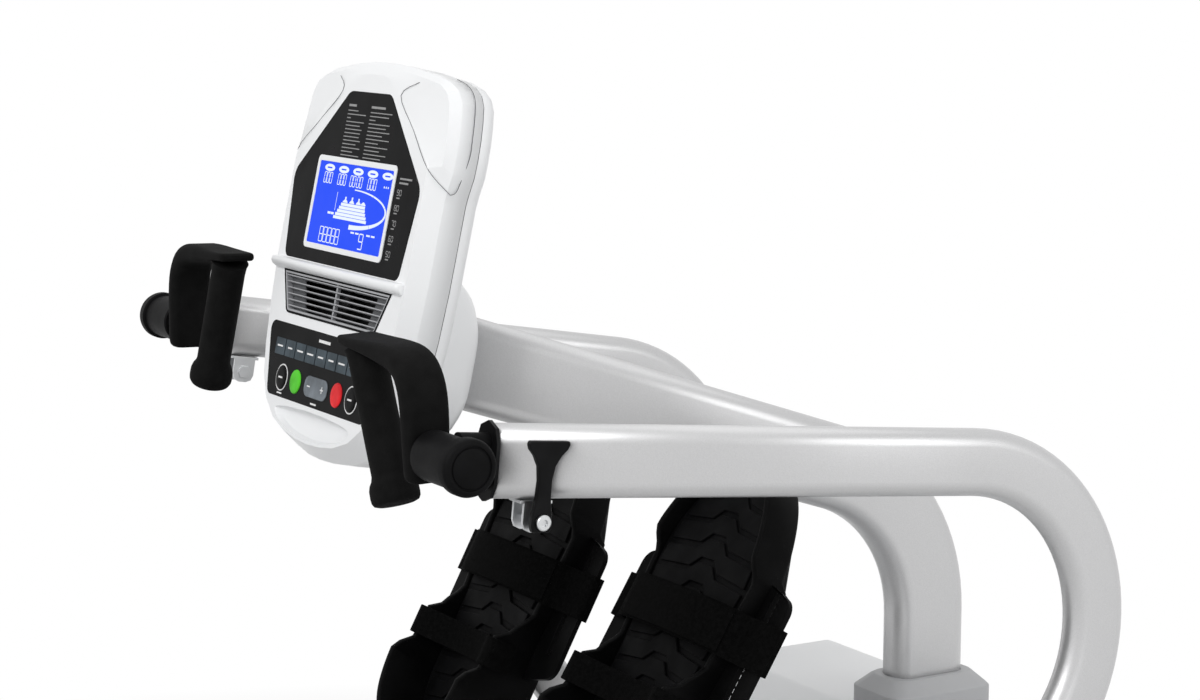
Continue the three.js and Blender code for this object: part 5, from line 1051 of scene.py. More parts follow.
def ellipse(middle, half_x, half_y, steps=48):
    return [(middle[0] + half_x * math.cos(2.0 * math.pi * i / steps),
             middle[1] + half_y * math.sin(2.0 * math.pi * i / steps)) for i in range(steps)]


def front_shape(bm):
    rows = console_rows()
    loops = skinned(bm, [[row[k] for row in rows] for k in range(4)] + [console_rim(0.0, CONSOLE["seam"])])
    fan_loop = loop_of(bm, [(x, y, 0.0) for x, y in offset_outline(rounded(FAN, 4), 1.3)])
    scoop_rows = []
    for reach, deep in SCOOP["rows"]:
        low, high = SCOOP["low"] * reach, SCOOP["high"] * reach
        points = [(x, y if y < SCOOP["middle"] else SCOOP["middle"] + (y - SCOOP["middle"]) * high / low)
                  for x, y in ellipse((0.0, SCOOP["middle"]), SCOOP["half"] * reach, low)]
        scoop_rows.append([(x, y, -SCOOP["depth"] * deep) for x, y in points])
    scoop_loops = skinned(bm, scoop_rows)
    bmesh.ops.contextual_create(bm, geom=scoop_loops[-1])
    bmesh.ops.triangle_fill(bm, use_beauty=True, use_dissolve=False,
                            edges=loops[0] + fan_loop + scoop_loops[0])
    made = bmesh.ops.extrude_edge_only(bm, edges=fan_loop)["geom"]
    bmesh.ops.translate(bm, vec=(0.0, 0.0, -CONSOLE["return"]), verts=made_verts(made))


def rear_shape(bm):
    """The rear shell with a rounded back, and the lobe that takes the top of the mast."""
    start, end = CONSOLE["seam"] + CONSOLE["gap"], CONSOLE["rear"]
    lofted(bm, [console_rim(0.0, start), console_rim(0.0, end - 9.0), console_rim(1.4, end - 4.6),
                console_rim(4.6, end - 1.4), console_rim(9.0, end)])
    corners = [(x, y, LOBE["corner"]) for x, y in (
        (-LOBE["half"], LOBE["bottom"]), (LOBE["half"], LOBE["bottom"]), (LOBE["half"], LOBE["top"]),
        (-LOBE["half"], LOBE["top"]))]
    outline = rounded(corners, 8)
    lobe = bmesh.new()
    rings = []
    for inset, share in LOBE_DOME:
        depth = end - 2.0 + (LOBE["depth"] - end + 2.0) * share
        rings.append([(x, y, -depth) for x, y in offset_outline(outline, -inset)])
    lofted(lobe, rings)
    joined(bm, lobe, Matrix.Identity(4))


def cord(bm, points, radius, sides=6):
    """A thin round line through points."""
    rings = []
    for i, point in enumerate(points):
        along = (Vector(points[min(i + 1, len(points) - 1)]) - Vector(points[max(i - 1, 0)])).normalized()
        turn = along.to_track_quat("Z", "Y")
        rings.append([tuple(Vector(point) + turn @ Vector((
            radius * math.cos(2.0 * math.pi * k / sides), radius * math.sin(2.0 * math.pi * k / sides), 0.0)))
            for k in range(sides)])
    lofted(bm, rings)


def lid_lines(bm):
    for side in (-1, 1):
        line = smooth_line([(side * x, y, -depth) for x, y, depth in LID], 4)
        cord(bm, line, 0.3)


def ledge_shape(bm):
    rings = []
    for x, share in LEDGE_ENDS:
        rings.append([(x, LEDGE_MIDDLE + (y - LEDGE_MIDDLE) * (0.5 + 0.5 * share), z * share)
                      for z, y in LEDGE])
    lofted(bm, rings)


def make_console_shells():
    white = white_plastic()
    base = face_matrix()
    bm = bmesh.new()
    front_shape(bm)
    face = finished(bm, "console_face", base, white, "base", ("console_front",), 20.0,
                    (1.5, 3))
    add_wall(face, CONSOLE["wall"])
    bm = bmesh.new()
    ledge_shape(bm)
    finished(bm, "console_ledge", base, white, "base", (), 40.0)
    bm = bmesh.new()
    rear_shape(bm)
    finished(bm, "console_back", base, white, "base", ("console_rear",), 38.0)
    seam = plain("seam_shadow", (0.10, 0.10, 0.11), 0.8, specular=0.1)
    tinted(seam, noise_on(seam, 60.0), (0.08, 0.08, 0.09), (0.12, 0.12, 0.13))
    bm = bmesh.new()
    front, back = CONSOLE["seam"] - 1.0, CONSOLE["seam"] + CONSOLE["gap"] + 1.0
    lofted(bm, [console_rim(0.7, front), console_rim(0.7, back)])
    lid_lines(bm)
    finished(bm, "console_seam", base, seam, "base", (), 30.0)


PRINT_THICK = 0.2


def number(bm, text, x, y, height, lean, weight, broad):
    """Plain seven-segment numbers as thin plates."""
    width, bar = height * broad, height * weight
    middle = height / 2.0
    places = {"a": ((0.0, height), (width, height)), "g": ((0.0, middle), (width, middle)),
              "d": ((0.0, 0.0), (width, 0.0)), "f": ((0.0, middle), (0.0, height)),
              "b": ((width, middle), (width, height)), "e": ((0.0, 0.0), (0.0, middle)),
              "c": ((width, 0.0), (width, middle))}
    for sign in text:
        if sign == ":":
            for up in (0.3, 0.7):
                spot = ellipse((x + bar + up * height * lean, y + up * height), bar * 0.6, bar * 0.6, 8)
                plate(bm, spot, 0.0, PRINT_THICK)
            x += bar * 2.6
            continue
        for name in SEGMENTS.get(sign, ""):
            (x0, y0), (x1, y1) = places[name]
            gap, half = bar * 0.32, bar / 2.0
            if y0 == y1:
                x0, x1, y0, y1 = x0 + gap, x1 - gap, y0 - half, y1 + half
            else:
                x0, x1, y0, y1 = x0 - half, x1 + half, y0 + gap, y1 - gap
            outline = [(x0, y0), (x1, y0), (x1, y1), (x0, y1)]
            plate(bm, [(x + a + b * lean, y + b) for a, b in outline], 0.0, PRINT_THICK)
        x += width + bar * 1.9


def strip(bm, x0, y0, x1, y1, high=PRINT_THICK):
    plate(bm, [(x0, y0), (x1, y0), (x1, y1), (x0, y1)], 0.0, high)


def marks(name, matrix, material, body, draw):
    bm = bmesh.new()
    draw(bm)
    finished(bm, name, matrix, material, body, (), 30.0)


def bezel_marks(bm):
    """Two columns of plain bars of uneven length, and the scale at the right."""
    for column, (x, width, head) in enumerate(((-46.0, 44.0, 18.0), (8.5, 54.0, 33.0))):
        strip(bm, x, 309.6, x + head, 312.0)
        for row in range(13):
            length = width * (0.55 + 0.45 * abs(math.sin(1.7 * row + 2.1 * column)))
            y = 304.8 - row * 3.95
            strip(bm, x, y, x + length * (0.3 if row == 2 else 1.0), y + 1.0)
    for y, width in ((241.6, 27.0), (237.2, 20.0)):
        strip(bm, 103.7, y, 103.7 + width, y + 1.9)
    for i, text in enumerate(("90", "80", "70", "60", "50")):
        number(bm, text, 102.6, 225.6 - 15.7 * i, 5.4, 0.0, 0.15, 0.74)
        strip(bm, 103.2, 222.2 - 15.7 * i, 110.2, 223.4 - 15.7 * i)


def screen_marks(bm):
    """White signs on the screen: ovals, numbers, a stepped pile with four sticks and small bars."""
    for i in range(5):
        plate(bm, ellipse((-63.8 + 35.0 * i, 242.6), 12.2, 3.9, 32), 0.0, PRINT_THICK)
    for text, x in (("000", -74.0), ("000", -39.6), ("00:00", -9.6), ("000", 33.4)):
        number(bm, text, x, 226.4, 11.2, 0.06, 0.085, 0.47)
    for i in range(3):
        strip(bm, 71.6 + 4.6 * i, 230.2, 73.6 + 4.6 * i, 232.2)
    for i, (x0, x1) in enumerate(((-34.4, 45.3), (-31.0, 43.0), (-27.5, 40.2), (-24.3, 38.0), (-21.0, 37.0))):
        strip(bm, x0, 190.8 + 3.6 * i, x1, 193.9 + 3.6 * i)
    for x, top in ((-12.0, 215.0), (4.0, 215.4), (20.0, 215.2), (31.5, 212.4)):
        strip(bm, x - 5.4, 208.8, x + 5.4, 210.4)
        strip(bm, x - 3.6, 210.4, x + 3.6, 211.6)
        strip(bm, x - 1.5, 211.6, x + 1.5, top)
    strip(bm, -34.2, 199.0, -33.6, 218.5)
    strip(bm, -49.7, 194.4, -42.6, 196.8)
    strip(bm, -41.4, 194.4, -34.8, 196.8)
    for x in (14.1, 25.2, 52.0, 63.2):
        strip(bm, x, 178.6, x + 8.2, 180.4)
    number(bm, "88888", -60.5, 164.2, 15.6, 0.0, 0.062, 0.52)
    number(bm, "9", 36.0, 164.2, 15.6, 0.0, 0.08, 0.6)


def arc_marks(bm):
    """The big arc at the right of the screen: thin at its start, broad at its end, in five stretches."""
    steps = 30
    for i in range(steps):
        outline = []
        for k, side in ((0, -1.0), (1, -1.0), (1, 1.0), (0, 1.0)):
            share = (i + k - (0.12 if k and (i + 1) % 6 == 0 else 0.0)) / steps
            angle = math.radians(90.0 - 180.0 * share)
            thick = (0.6 + 1.9 * share) * side
            outline.append((6.0 + (80.0 + thick) * math.cos(angle), 204.0 + (19.5 + thick) * math.sin(angle)))
        plate(bm, outline, 0.0, PRINT_THICK)


def oval_bars(bm):
    for i in range(5):
        strip(bm, -69.6 + 35.0 * i, 241.8, -58.0 + 35.0 * i, 243.4)


# Screen: opening and outside of its frame, and its glass, as x, y, x, y and corner
SCREEN_OPENING = (-89.0, 161.0, 89.0, 249.0, 2.0)
SCREEN_RIM = (-95.0, 155.0, 95.0, 255.0, 6.0)
SCREEN_GLASS = (-90.0, 160.0, 90.0, 250.0)
SCREEN_LIFT = Matrix.Translation((0.0, 0.0, 0.85))
OVAL_LIFT = Matrix.Translation((0.0, 0.0, 0.15))


def make_display():
    base = face_matrix()
    gloss = black_plastic("bezel_black", 0.3, 0.03, (0.003, 0.003, 0.0033), 0.03)
    white = plain("print_white", (0.80, 0.80, 0.80), 0.5)
    tinted(white, noise_on(white, 80.0), (0.76, 0.76, 0.76), (0.84, 0.84, 0.84))
    bm = bmesh.new()
    plate(bm, rounded(BEZEL, 8), -2.2, 0.5)
    finished(bm, "bezel_plate", base, gloss, "base", ("display_panel",), 40.0, (0.5, 2))
    bm = bmesh.new()
    cut_plate(bm, rectangle(*SCREEN_RIM), [rectangle(*SCREEN_OPENING)], -1.0, 1.6)
    finished(bm, "screen_frame", base, white_plastic(), "base", (), 40.0, (0.5, 2))
    glow = glowing("screen_blue", bpy.context.scene.stepper_colours.screen, 1.0)
    bm = bmesh.new()
    plate(bm, rectangle(*SCREEN_GLASS), -1.0, 0.9)
    finished(bm, "screen_glass", base, glow, "base", (), 40.0)
    pale = glowing("screen_signs", (0.82, 0.90, 1.0), 1.0)
    lift = base @ SCREEN_LIFT
    marks("screen_white", lift, pale, "base", screen_marks)
    marks("screen_arc", lift, pale, "base", arc_marks)
    marks("screen_bars", lift @ OVAL_LIFT, glow, "base", oval_bars)
    pale_print = plain("print_pale", (0.30, 0.30, 0.30), 0.5, specular=0.1)
    tinted(pale_print, noise_on(pale_print, 80.0), (0.28, 0.28, 0.28), (0.32, 0.32, 0.32))
    marks("bezel_print", base @ PRINT_LIFT, pale_print, "base", bezel_marks)


def fan_half(y):
    """Half width of the louvre at a height."""
    (x0, y0, _), (x1, y1, _) = FAN[1], FAN[2]
    return x0 + (x1 - x0) * (y - y0) / (y1 - y0)


# Slats of the louvre, the bar across them and the wheel behind
SLATS = {"first": 90.3, "pitch": 6.3, "count": 6, "inset": 3.0}
SLAT_SECTION = ((0.6, -0.5), (-0.7, -0.3), (-2.6, -6.8), (-1.6, -6.9))
FAN_HUB = [(0.0, -31.0), (9.0, -31.0), (9.0, -16.4), (8.0, -15.6), (0.0, -15.6)]
FAN_BLADES = {"count": 7, "middle": 105.0, "depth": -23.5, "tilt": 32.0, "reach": 13.5,
              "size": (11.0, 1.4, 15.0)}
# Grey panels behind the ends of the slats: height and how far in from the louvre's side
END_PANEL = ((86.0, 4.0), (125.0, 4.0), (125.0, 38.0), (86.0, 34.0))


def make_fan():
    base = face_matrix()
    silver = plain("grille_silver", (0.36, 0.365, 0.38), 0.38, 0.3)
    spread(silver, noise_on(silver, 40.0), 0.36, 0.48, "Roughness")
    tinted(silver, noise_on(silver, 12.0), (0.34, 0.345, 0.36), (0.38, 0.385, 0.40))
    bump(silver, noise_on(silver, 1300.0), 0.05, 0.0001)
    outer = rounded(FAN, 4)
    bm = bmesh.new()
    cut_plate(bm, outer, [offset_outline(outer, -3.4)], -7.0, 0.4)
    for i in range(SLATS["count"]):
        middle = SLATS["first"] + i * SLATS["pitch"]
        half = fan_half(middle) - SLATS["inset"]
        lofted(bm, [[(x, middle + y, z) for y, z in SLAT_SECTION] for x in (-half, half)])
    block(bm, (-1.6, 84.0, -6.8), (1.6, 126.0, -2.6))
    finished(bm, "grille", base, silver, "base", ("fan_grille",), 40.0, (0.35, 2))
    dull = plain("grille_ends", (0.12, 0.123, 0.13), 0.5, specular=0.2)
    tinted(dull, noise_on(dull, 30.0), (0.11, 0.113, 0.12), (0.13, 0.133, 0.14))
    bm = bmesh.new()
    for side in (-1, 1):
        points = [(fan_half(y) - inset, y) for y, inset in END_PANEL]
        plate(bm, [(side * x, y) for x, y in points], -8.4, -7.0)
    finished(bm, "grille_end_panels", base, dull, "base", ())
    dark = black_plastic("fan_dark", 0.7)
    # Dark ring over the grille's edge: painted shadow of the groove between the grille and the face
    bm = bmesh.new()
    cut_plate(bm, offset_outline(outer, 0.8), [offset_outline(outer, -1.3)], 0.3, 0.7)
    finished(bm, "grille_shadow_ring", base, dark, "base")
    bm = bmesh.new()
    plate(bm, offset_outline(outer, 2.0), -32.0, -30.0)
    finished(bm, "fan_back", base, dark, "base")
    bm = bmesh.new()
    lathe(bm, FAN_HUB, "Z", (0.0, FAN_BLADES["middle"], 0.0), 32)
    hub = Matrix.Translation((0.0, FAN_BLADES["middle"], FAN_BLADES["depth"]))
    tilt = Matrix.Rotation(math.radians(FAN_BLADES["tilt"]), 4, "X")
    blade = tilt @ Matrix.Translation((FAN_BLADES["reach"], 0.0, 0.0))
    blade = blade @ Matrix.Diagonal((*FAN_BLADES["size"], 1.0))
    for i in range(FAN_BLADES["count"]):
        turn = hub @ Matrix.Rotation(2.0 * math.pi * i / FAN_BLADES["count"], 4, "Z")
        bmesh.ops.create_cube(bm, size=1.0, matrix=turn @ blade)
    finished(bm, "fan_wheel", base, black_plastic(), "fan_rotor", ("fan_rotor",), 40.0)


def keypad_marks(bm):
    strip(bm, -13.0, 60.5, 15.0, 63.6)
    for i in range(KEY["count"]):
        x = KEY["first"] + i * KEY["pitch"] + KEY["width"] / 2.0
        half = 5.0 + 2.6 * abs(math.sin(2.3 * i + 0.7))
        strip(bm, x - half, 44.6, x + half, 46.4, 1.0)
    for name, x in BUTTONS.items():
        if name in ("fan", "enter"):
            strip(bm, x - 4.5, BUTTON_ROW - 0.9, x + 4.5, BUTTON_ROW + 0.9, 2.2)
    strip(bm, BUTTONS["fan"] - 6.0, -4.6, BUTTONS["fan"] + 6.0, -3.0)
    strip(bm, -7.0, -4.8, 7.0, -3.0)


def rocker_marks(bm):
    strip(bm, -20.0, BUTTON_ROW - 0.7, -13.0, BUTTON_ROW + 0.7)
    strip(bm, 13.0, BUTTON_ROW - 0.7, 20.0, BUTTON_ROW + 0.7)
    strip(bm, 15.8, BUTTON_ROW - 3.5, 17.2, BUTTON_ROW + 3.5)


def make_keypad():
    base = face_matrix()
    gloss = black_plastic("keypad_black", 0.3, 0.04, (0.003, 0.003, 0.0033), 0.03)
    white = bpy.data.materials["print_white"]
    bm = bmesh.new()
    plate(bm, rounded(KEYPAD, 8), -2.2, 0.5)
    finished(bm, "keypad_plate", base, gloss, "base", ("keypad_panel",), 40.0, (0.5, 2))
    slate = black_plastic("key_slate", 0.5, 0.05, (0.050, 0.066, 0.078))
    bm = bmesh.new()
    for i in range(KEY["count"]):
        x = KEY["first"] + i * KEY["pitch"]
        plate(bm, rectangle(x, KEY["bottom"], x + KEY["width"], KEY["top"], 1.2, 3), -1.0, 1.1)
    finished(bm, "keypad_keys", base, slate, "base", (), 40.0, (0.4, 2))
    colours = {"fan": gloss, "enter": gloss,
               "start": black_plastic("start_green", 0.4, 0.04, (0.07, 0.42, 0.025)),
               "stop": black_plastic("stop_red", 0.4, 0.04, (0.62, 0.02, 0.025))}
    slots = {"fan": "black_gloss", "enter": "black_gloss", "start": "green_plastic", "stop": "red_plastic"}
    for name, x in BUTTONS.items():
        bm = bmesh.new()
        lathe(bm, BUTTON_CAP, "Z", (x, BUTTON_ROW, 0.0), 48)
        finished(bm, name + "_cap", base, colours[name], name + "_button",
                 (name + "_button",), 30.0)
        if slots[name] == "black_gloss":
            bm = bmesh.new()
            lathe(bm, BUTTON_RING, "Z", (x, BUTTON_ROW, 0.0), 48)
            finished(bm, name + "_ring", base, white, "base", (), 30.0)
    grey = black_plastic("level_grey", 0.45, 0.04, (0.16, 0.18, 0.20))
    bm = bmesh.new()
    half_x, half_y, corner = LEVEL_KEY
    plate(bm, rectangle(-half_x, BUTTON_ROW - half_y, half_x, BUTTON_ROW + half_y, corner), -6.0, 1.6)
    finished(bm, "level_key", base, grey, "level", ("level_rocker",), 40.0, (0.8, 3))
    marks("level_signs", base @ SIGN_LIFT, white, "level", rocker_marks)
    marks("keypad_print", base @ PRINT_LIFT, white, "base", keypad_marks)


# Drive, shroud and seat

def dress_drive():
    steel = metal("shaft_steel", (0.56, 0.57, 0.58), 0.30)
    iron = metal("drive_iron", (0.20, 0.20, 0.21), 0.48)
    black = black_plastic("powder_black", 0.45, 0.12)
    for node in ("cross_shaft", "equaliser_rocker"):
        dressed(node, steel)
    for node in ("clutch_pulley", "flywheel", "drive_chain"):
        dressed(node, iron)
    dressed("hub_cradle", black)
    dressed("drive_belt", rubber("belt_rubber"))


def make_shroud():
    white = white_plastic()
    for side in ("left", "right"):
        refined("shroud_" + side, white, 3.0, 4, 30.0)


def refine_seat():
    black = black_plastic("seat_frame_black", 0.42, 0.10)
    for node in ("seat_carriage", "swivel_post", "back_frame"):
        refined(node, black, 1.5, 2, 40.0)
    for node in ("slide_lever", "swivel_lever"):
        refined(node, black_plastic(), 2.0, 3, 40.0)


# A pad's side from below: how far it draws in, as a share of the height, and how high it lies
CUSHION_ROWS = [(0.10, 0.0), (0.02, 0.16), (0.0, 0.45), (0.015, 0.66), (0.06, 0.82), (0.16, 0.94),
                (0.34, 1.0)]
# Length, width, height, corner and crown of each pad, and where its channels are sewn along it
SEAT_PAD = ((430.0, 470.0, 82.0, 90.0, 14.0), (-86.0, 96.0))
BACK_PAD = ((470.0, 440.0, 75.0, 90.0, 12.0), (-94.0, 110.0))
SEAT_PLACE = (-485.0, 0.0, 408.3)
BACK_PIVOT = (-735.0, 0.0, 376.0)
BACK_RISE = 128.0 + 235.0
BACK_FORWARD = 15.3
RECLINE = -12.0
# Cloth: size of its mesh, held rim and seams, air pressure, frames and the most that it may move, in metres
STUFFING = {"mesh": 0.0055, "rim": 0.012, "seam": 0.006, "seam_from": 0.8, "pressure": 4.0, "frames": 20,
            "most": 0.007}
# Channel pressed in along each seam: reach and depth in metres, and from which share of the height
CHANNEL = {"reach": 0.016, "depth": 0.0065, "from": 0.45}


def pad_shape(bm, length, width, height, corner, crown):
    """A stuffed pad lying flat: drawn-in underside, full sides, crowned top with sewn channels."""
    outline = rectangle(-length / 2.0, -width / 2.0, length / 2.0, width / 2.0, corner, 10)
    rings = []
    for inset, rise in CUSHION_ROWS:
        ring = []
        for x, y in offset_outline(outline, -inset * height):
            bulge = crown * rise * (1.0 - (2.0 * x / length) ** 2) * (1.0 - (2.0 * y / width) ** 2)
            ring.append((x, y, rise * (height - crown) + bulge))
        rings.append(ring)
    lofted(bm, rings)


def stuffed(name, node, matrix, pad_size, body, material):
    """Makes a pad and lets a short cloth simulation fill it, held at its sewn channels."""
    bm = bmesh.new()
    (length, width, height, corner, crown), dips = pad_size
    pad_shape(bm, length, width, height, corner, crown)
    bmesh.ops.recalc_face_normals(bm, faces=bm.faces)
    mesh = bpy.data.meshes.new(name)
    bm.to_mesh(mesh)
    bm.free()
    pad = bpy.data.objects.new(name, mesh)
    bpy.context.scene.collection.objects.link(pad)
    mesh.transform(Matrix.Scale(MM, 4))
    fine = pad.modifiers.new("even", "REMESH")
    fine.mode = "VOXEL"
    fine.voxel_size = STUFFING["mesh"]
    applied(pad)
    rest = [v.co.copy() for v in pad.data.vertices]
    pins = pad.vertex_groups.new(name="sewn")
    for i, place in enumerate(rest):
        near = min(abs(place.x - dip * MM) for dip in dips)
        low = place.z < STUFFING["rim"]
        seam = place.z > (height - crown) * MM * STUFFING["seam_from"]
        held = low or (near < STUFFING["seam"] and seam)
        pins.add([i], 1.0 if held else 0.0, "REPLACE")
    cloth = pad.modifiers.new("cloth", "CLOTH")
    cloth.settings.use_pressure = True
    cloth.settings.uniform_pressure_force = STUFFING["pressure"]
    cloth.settings.effector_weights.gravity = 0.0
    cloth.settings.vertex_group_mass = "sewn"
    cloth.point_cache.frame_start = 1
    cloth.point_cache.frame_end = STUFFING["frames"]
    for count in range(1, STUFFING["frames"] + 1):
        bpy.context.scene.frame_set(count)
        bpy.context.view_layer.update()
    applied(pad)
    for vert, place in zip(pad.data.vertices, rest):
        drift = vert.co - place
        if drift.length > STUFFING["most"]:
            vert.co = place + drift.normalized() * STUFFING["most"]
    bpy.context.scene.frame_set(1)
    for vert in pad.data.vertices:
        for dip in dips:
            near = abs(vert.co.x - dip * MM)
            if near < CHANNEL["reach"] and vert.co.z > height * MM * CHANNEL["from"]:
                vert.co.z -= CHANNEL["depth"] * (1.0 - near / CHANNEL["reach"]) ** 2
    pad.data.transform(placed(matrix) @ Matrix.Scale(1.0 / MM, 4))
    for face in pad.data.polygons:
        face.use_smooth = True
    smoothing = pad.modifiers.new("smooth", "SUBSURF")
    smoothing.levels = 1
    smoothing.render_levels = 1
    pad.data.materials.append(material)
    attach(pad, body)
    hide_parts(node)


def applied(piece):
    """Turns a piece's modifiers into its mesh."""
    graph = bpy.context.evaluated_depsgraph_get()
    mesh = bpy.data.meshes.new_from_object(piece.evaluated_get(graph))
    old = piece.data
    piece.modifiers.clear()
    piece.data = mesh
    bpy.data.meshes.remove(old)


def make_cushions():
    skin = vinyl()
    stuffed("seat_pad", "seat_cushion", Matrix.Translation(SEAT_PLACE), SEAT_PAD, "seat_swivel", skin)
    lean = Matrix.Translation(BACK_PIVOT) @ Matrix.Rotation(math.radians(RECLINE), 4, "Y")
    upright = Matrix(((0.0, 0.0, 1.0, BACK_FORWARD), (0.0, 1.0, 0.0, 0.0), (1.0, 0.0, 0.0, BACK_RISE),
                      (0.0, 0.0, 0.0, 1.0)))
    stuffed("back_pad", "back_cushion", lean @ upright, BACK_PAD, "seat_back", skin)


# Camera, floor and light

CAMERA_PLACE = (-1.0968, -2.4692, 1.3680)
CAMERA_AHEAD = (0.5002, 0.8535, -0.1463)
CAMERA_UP = (0.0740, 0.1262, 0.9893)
CAMERA_LENS = 78.47
SENSOR = 36.0
CAMERA_REACH = 200.0
WORLD_LIGHT = 0.52
WHITE = (1.0, 1.0, 1.0, 1.0)
FLOOR_HALF = 30.0
FLOOR_DROP = 0.001
# The floor shows its shade near the object and plain white from here to there, in metres
FLOOR_FADE = (1.1, 2.2)
FLOOR_LEAST = 0.10
# Name, place, aim, size and power of each lamp
LAMPS = (
    ("key", (-2.6, -1.3, 2.93), (0.0, 0.0, 1.0), (2.4, 1.6), 66.0),
    ("top", (0.6, 0.2, 3.6), (0.3, 0.0, 0.8), (3.2, 2.4), 12.0),
    ("fill", (1.6, -3.0, 1.8), (0.4, 0.0, 0.7), (2.0, 1.8), 22.0))


def white_when_seen(material, shader, lit):
    """Shows plain white to the camera and in mirrors, and its own finish to the light."""
    path = add_node(material, "ShaderNodeLightPath")
    seen = add_node(material, "ShaderNodeMath", operation="MAXIMUM")
    link(material, path.outputs["Is Camera Ray"], seen.inputs[0])
    link(material, path.outputs["Is Glossy Ray"], seen.inputs[1])
    through = add_node(material, "ShaderNodeMath", operation="MAXIMUM")
    link(material, seen.outputs[0], through.inputs[0])
    link(material, path.outputs["Is Transmission Ray"], through.inputs[1])
    mix = add_node(material, "ShaderNodeMixShader")
    link(material, through.outputs[0], mix.inputs["Fac"])
    link(material, lit, mix.inputs[1])
    link(material, shader, mix.inputs[2])
    return mix.outputs[0]


def white_world():
    world = bpy.data.worlds.new("studio")
    bpy.context.scene.world = world
    world.use_nodes = True
    world.node_tree.nodes.clear()
    even = add_node(world, "ShaderNodeBackground", Color=WHITE, Strength=WORLD_LIGHT)
    seen = add_node(world, "ShaderNodeBackground", Color=WHITE, Strength=1.0)
    out = add_node(world, "ShaderNodeOutputWorld")
    link(world, white_when_seen(world, seen.outputs[0], even.outputs[0]), out.inputs["Surface"])


def floor_material():
    material = bpy.data.materials.new("studio_floor")
    material.use_nodes = True
    shader = shader_of(material)
    shader.inputs["Base Color"].default_value = (0.8, 0.8, 0.8, 1.0)
    shader.inputs["Roughness"].default_value = 0.9
    glow = add_node(material, "ShaderNodeEmission", Color=WHITE, Strength=1.0)
    length = add_node(material, "ShaderNodeVectorMath", operation="LENGTH")
    link(material, object_points(material), length.inputs[0])
    near = add_node(material, "ShaderNodeMapRange")
    for name, value in zip(("From Min", "From Max", "To Min", "To Max"), (*FLOOR_FADE, FLOOR_LEAST, 1.0)):
        near.inputs[name].default_value = value
    link(material, length.outputs["Value"], near.inputs["Value"])
    blend = add_node(material, "ShaderNodeMixShader")
    link(material, near.outputs["Result"], blend.inputs["Fac"])
    link(material, shader.outputs["BSDF"], blend.inputs[1])
    link(material, glow.outputs["Emission"], blend.inputs[2])
    out = next(n for n in material.node_tree.nodes if n.type == "OUTPUT_MATERIAL")
    link(material, white_when_seen(material, blend.outputs[0], shader.outputs["BSDF"]), out.inputs["Surface"])
    return material


def lamp(name, place, aim, size, power):
    light = bpy.data.lights.new(name, "AREA")
    light.shape = "RECTANGLE"
    light.size, light.size_y = size
    light.energy = power
    holder = bpy.data.objects.new(name, light)
    bpy.context.scene.collection.objects.link(holder)
    holder.location = place
    holder.rotation_euler = (Vector(aim) - Vector(place)).to_track_quat("-Z", "Y").to_euler()


def make_stage():
    scene = bpy.context.scene
    scene.view_settings.view_transform = "Standard"
    bm = bmesh.new()
    bmesh.ops.create_grid(bm, x_segments=1, y_segments=1, size=FLOOR_HALF)
    mesh = bpy.data.meshes.new("floor")
    bm.to_mesh(mesh)
    bm.free()
    floor = bpy.data.objects.new("floor", mesh)
    scene.collection.objects.link(floor)
    floor.location.z = -FLOOR_DROP
    mesh.materials.append(floor_material())
    white_world()
    for row in LAMPS:
        lamp(*row)
    data = bpy.data.cameras.new("camera")
    data.lens = CAMERA_LENS
    data.sensor_width = SENSOR
    data.clip_end = CAMERA_REACH
    camera = bpy.data.objects.new("camera", data)
    scene.collection.objects.link(camera)
    ahead, up = Vector(CAMERA_AHEAD).normalized(), Vector(CAMERA_UP).normalized()
    right = ahead.cross(up).normalized()
    up = right.cross(ahead).normalized()
    turn = Matrix((right, up, -ahead)).transposed().to_4x4()
    camera.matrix_world = Matrix.Translation(CAMERA_PLACE) @ turn
    scene.camera = camera


# Operators: each piece or group of like pieces, and the stage

class STEPPER_OT_frame(bpy.types.Operator):
    """Dresses the beam, stabilisers, caps, stand and wheels"""

    bl_idname = "stepper.frame"
    bl_label = "Frame"

    def execute(self, context):
        refine_frame()
        return {"FINISHED"}


class STEPPER_OT_mast(bpy.types.Operator):
    """Makes the bent mast, its bearings and its boot"""

    bl_idname = "stepper.mast"
    bl_label = "Mast"

    def execute(self, context):
        make_mast()
        return {"FINISHED"}


class STEPPER_OT_drive(bpy.types.Operator):
    """Dresses the shafts, chain, belt and flywheel"""

    bl_idname = "stepper.drive"
    bl_label = "Drive"

    def execute(self, context):
        dress_drive()
        return {"FINISHED"}


class STEPPER_OT_shroud(bpy.types.Operator):
    """Dresses the two halves of the shroud"""

    bl_idname = "stepper.shroud"
    bl_label = "Shroud"

    def execute(self, context):
        make_shroud()
        return {"FINISHED"}


class STEPPER_OT_arms(bpy.types.Operator):
    """Makes the two bent oval arms"""

    bl_idname = "stepper.arms"
    bl_label = "Arms"

    def execute(self, context):
        make_arms()
        return {"FINISHED"}


class STEPPER_OT_arm_ends(bpy.types.Operator):
    """Makes the bushes, brackets and cam levers"""

    bl_idname = "stepper.arm_ends"
    bl_label = "Arm ends"

    def execute(self, context):
        make_arm_ends()
        return {"FINISHED"}


class STEPPER_OT_handles(bpy.types.Operator):
    """Makes the stems and the hook grips"""

    bl_idname = "stepper.handles"
    bl_label = "Handles"

    def execute(self, context):
        make_handles()
        return {"FINISHED"}


class STEPPER_OT_pedals(bpy.types.Operator):
    """Makes the pedal shells, mats and levers"""

    bl_idname = "stepper.pedals"
    bl_label = "Pedals"

    def execute(self, context):
        make_pedals()
        return {"FINISHED"}


class STEPPER_OT_straps(bpy.types.Operator):
    """Makes the toe and heel straps"""

    bl_idname = "stepper.straps"
    bl_label = "Straps"

    def execute(self, context):
        make_straps()
        return {"FINISHED"}


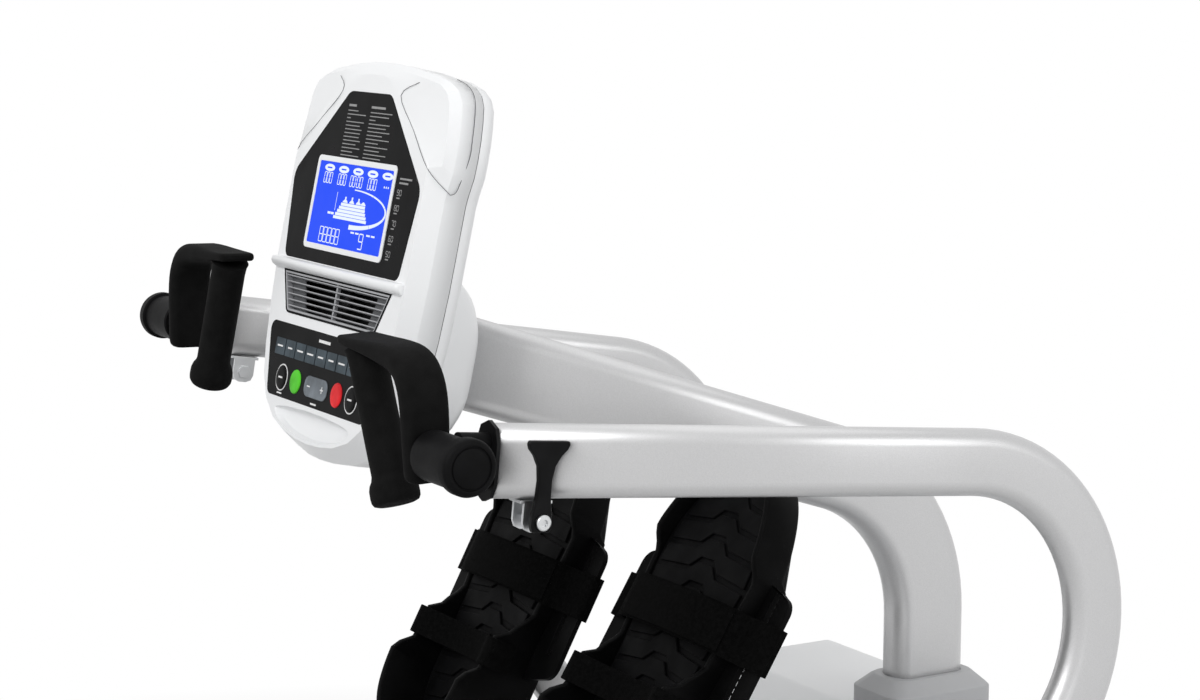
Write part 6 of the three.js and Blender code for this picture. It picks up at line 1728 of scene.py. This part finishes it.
class STEPPER_OT_console(bpy.types.Operator):
    """Makes the console's shells"""

    bl_idname = "stepper.console"
    bl_label = "Console"

    def execute(self, context):
        make_console_shells()
        return {"FINISHED"}


class STEPPER_OT_display(bpy.types.Operator):
    """Makes the bezel and the screen"""

    bl_idname = "stepper.display"
    bl_label = "Display"

    def execute(self, context):
        make_display()
        return {"FINISHED"}


class STEPPER_OT_fan(bpy.types.Operator):
    """Makes the fan's grille and wheel"""

    bl_idname = "stepper.fan"
    bl_label = "Fan"

    def execute(self, context):
        make_fan()
        return {"FINISHED"}


class STEPPER_OT_keypad(bpy.types.Operator):
    """Makes the keypad and its buttons"""

    bl_idname = "stepper.keypad"
    bl_label = "Keypad"

    def execute(self, context):
        make_keypad()
        return {"FINISHED"}


class STEPPER_OT_seat(bpy.types.Operator):
    """Dresses the seat's carriage, post and levers"""

    bl_idname = "stepper.seat"
    bl_label = "Seat"

    def execute(self, context):
        refine_seat()
        return {"FINISHED"}


class STEPPER_OT_cushions(bpy.types.Operator):
    """Makes the two cushions"""

    bl_idname = "stepper.cushions"
    bl_label = "Cushions"

    def execute(self, context):
        make_cushions()
        return {"FINISHED"}


class STEPPER_OT_stage(bpy.types.Operator):
    """Makes the floor, lamps and camera"""

    bl_idname = "stepper.stage"
    bl_label = "Stage"

    def execute(self, context):
        make_stage()
        return {"FINISHED"}


OPERATORS = (
    STEPPER_OT_frame, STEPPER_OT_mast, STEPPER_OT_drive, STEPPER_OT_shroud, STEPPER_OT_arms,
    STEPPER_OT_arm_ends, STEPPER_OT_handles, STEPPER_OT_pedals, STEPPER_OT_straps, STEPPER_OT_console,
    STEPPER_OT_display, STEPPER_OT_fan, STEPPER_OT_keypad, STEPPER_OT_seat, STEPPER_OT_cushions,
    STEPPER_OT_stage)


class STEPPER_PT_panel(bpy.types.Panel):
    """Lists the steps in the sidebar"""

    bl_label = "Stepper"
    bl_idname = "STEPPER_PT_panel"
    bl_space_type = "VIEW_3D"
    bl_region_type = "UI"
    bl_category = "Stepper"

    def draw(self, context):
        for operator in OPERATORS:
            self.layout.operator(operator.bl_idname)


CLASSES = [StepperSizes, StepperColours, *OPERATORS, STEPPER_PT_panel]


def register():
    for kind in CLASSES:
        bpy.utils.register_class(kind)
    bpy.types.Scene.stepper_sizes = bpy.props.PointerProperty(type=StepperSizes)
    bpy.types.Scene.stepper_colours = bpy.props.PointerProperty(type=StepperColours)


def unregister():
    del bpy.types.Scene.stepper_colours
    del bpy.types.Scene.stepper_sizes
    for kind in reversed(CLASSES):
        bpy.utils.unregister_class(kind)


def main():
    register()
    for operator in OPERATORS:
        getattr(bpy.ops.stepper, operator.bl_idname.split(".")[1])()


if __name__ == "__main__":
    main()
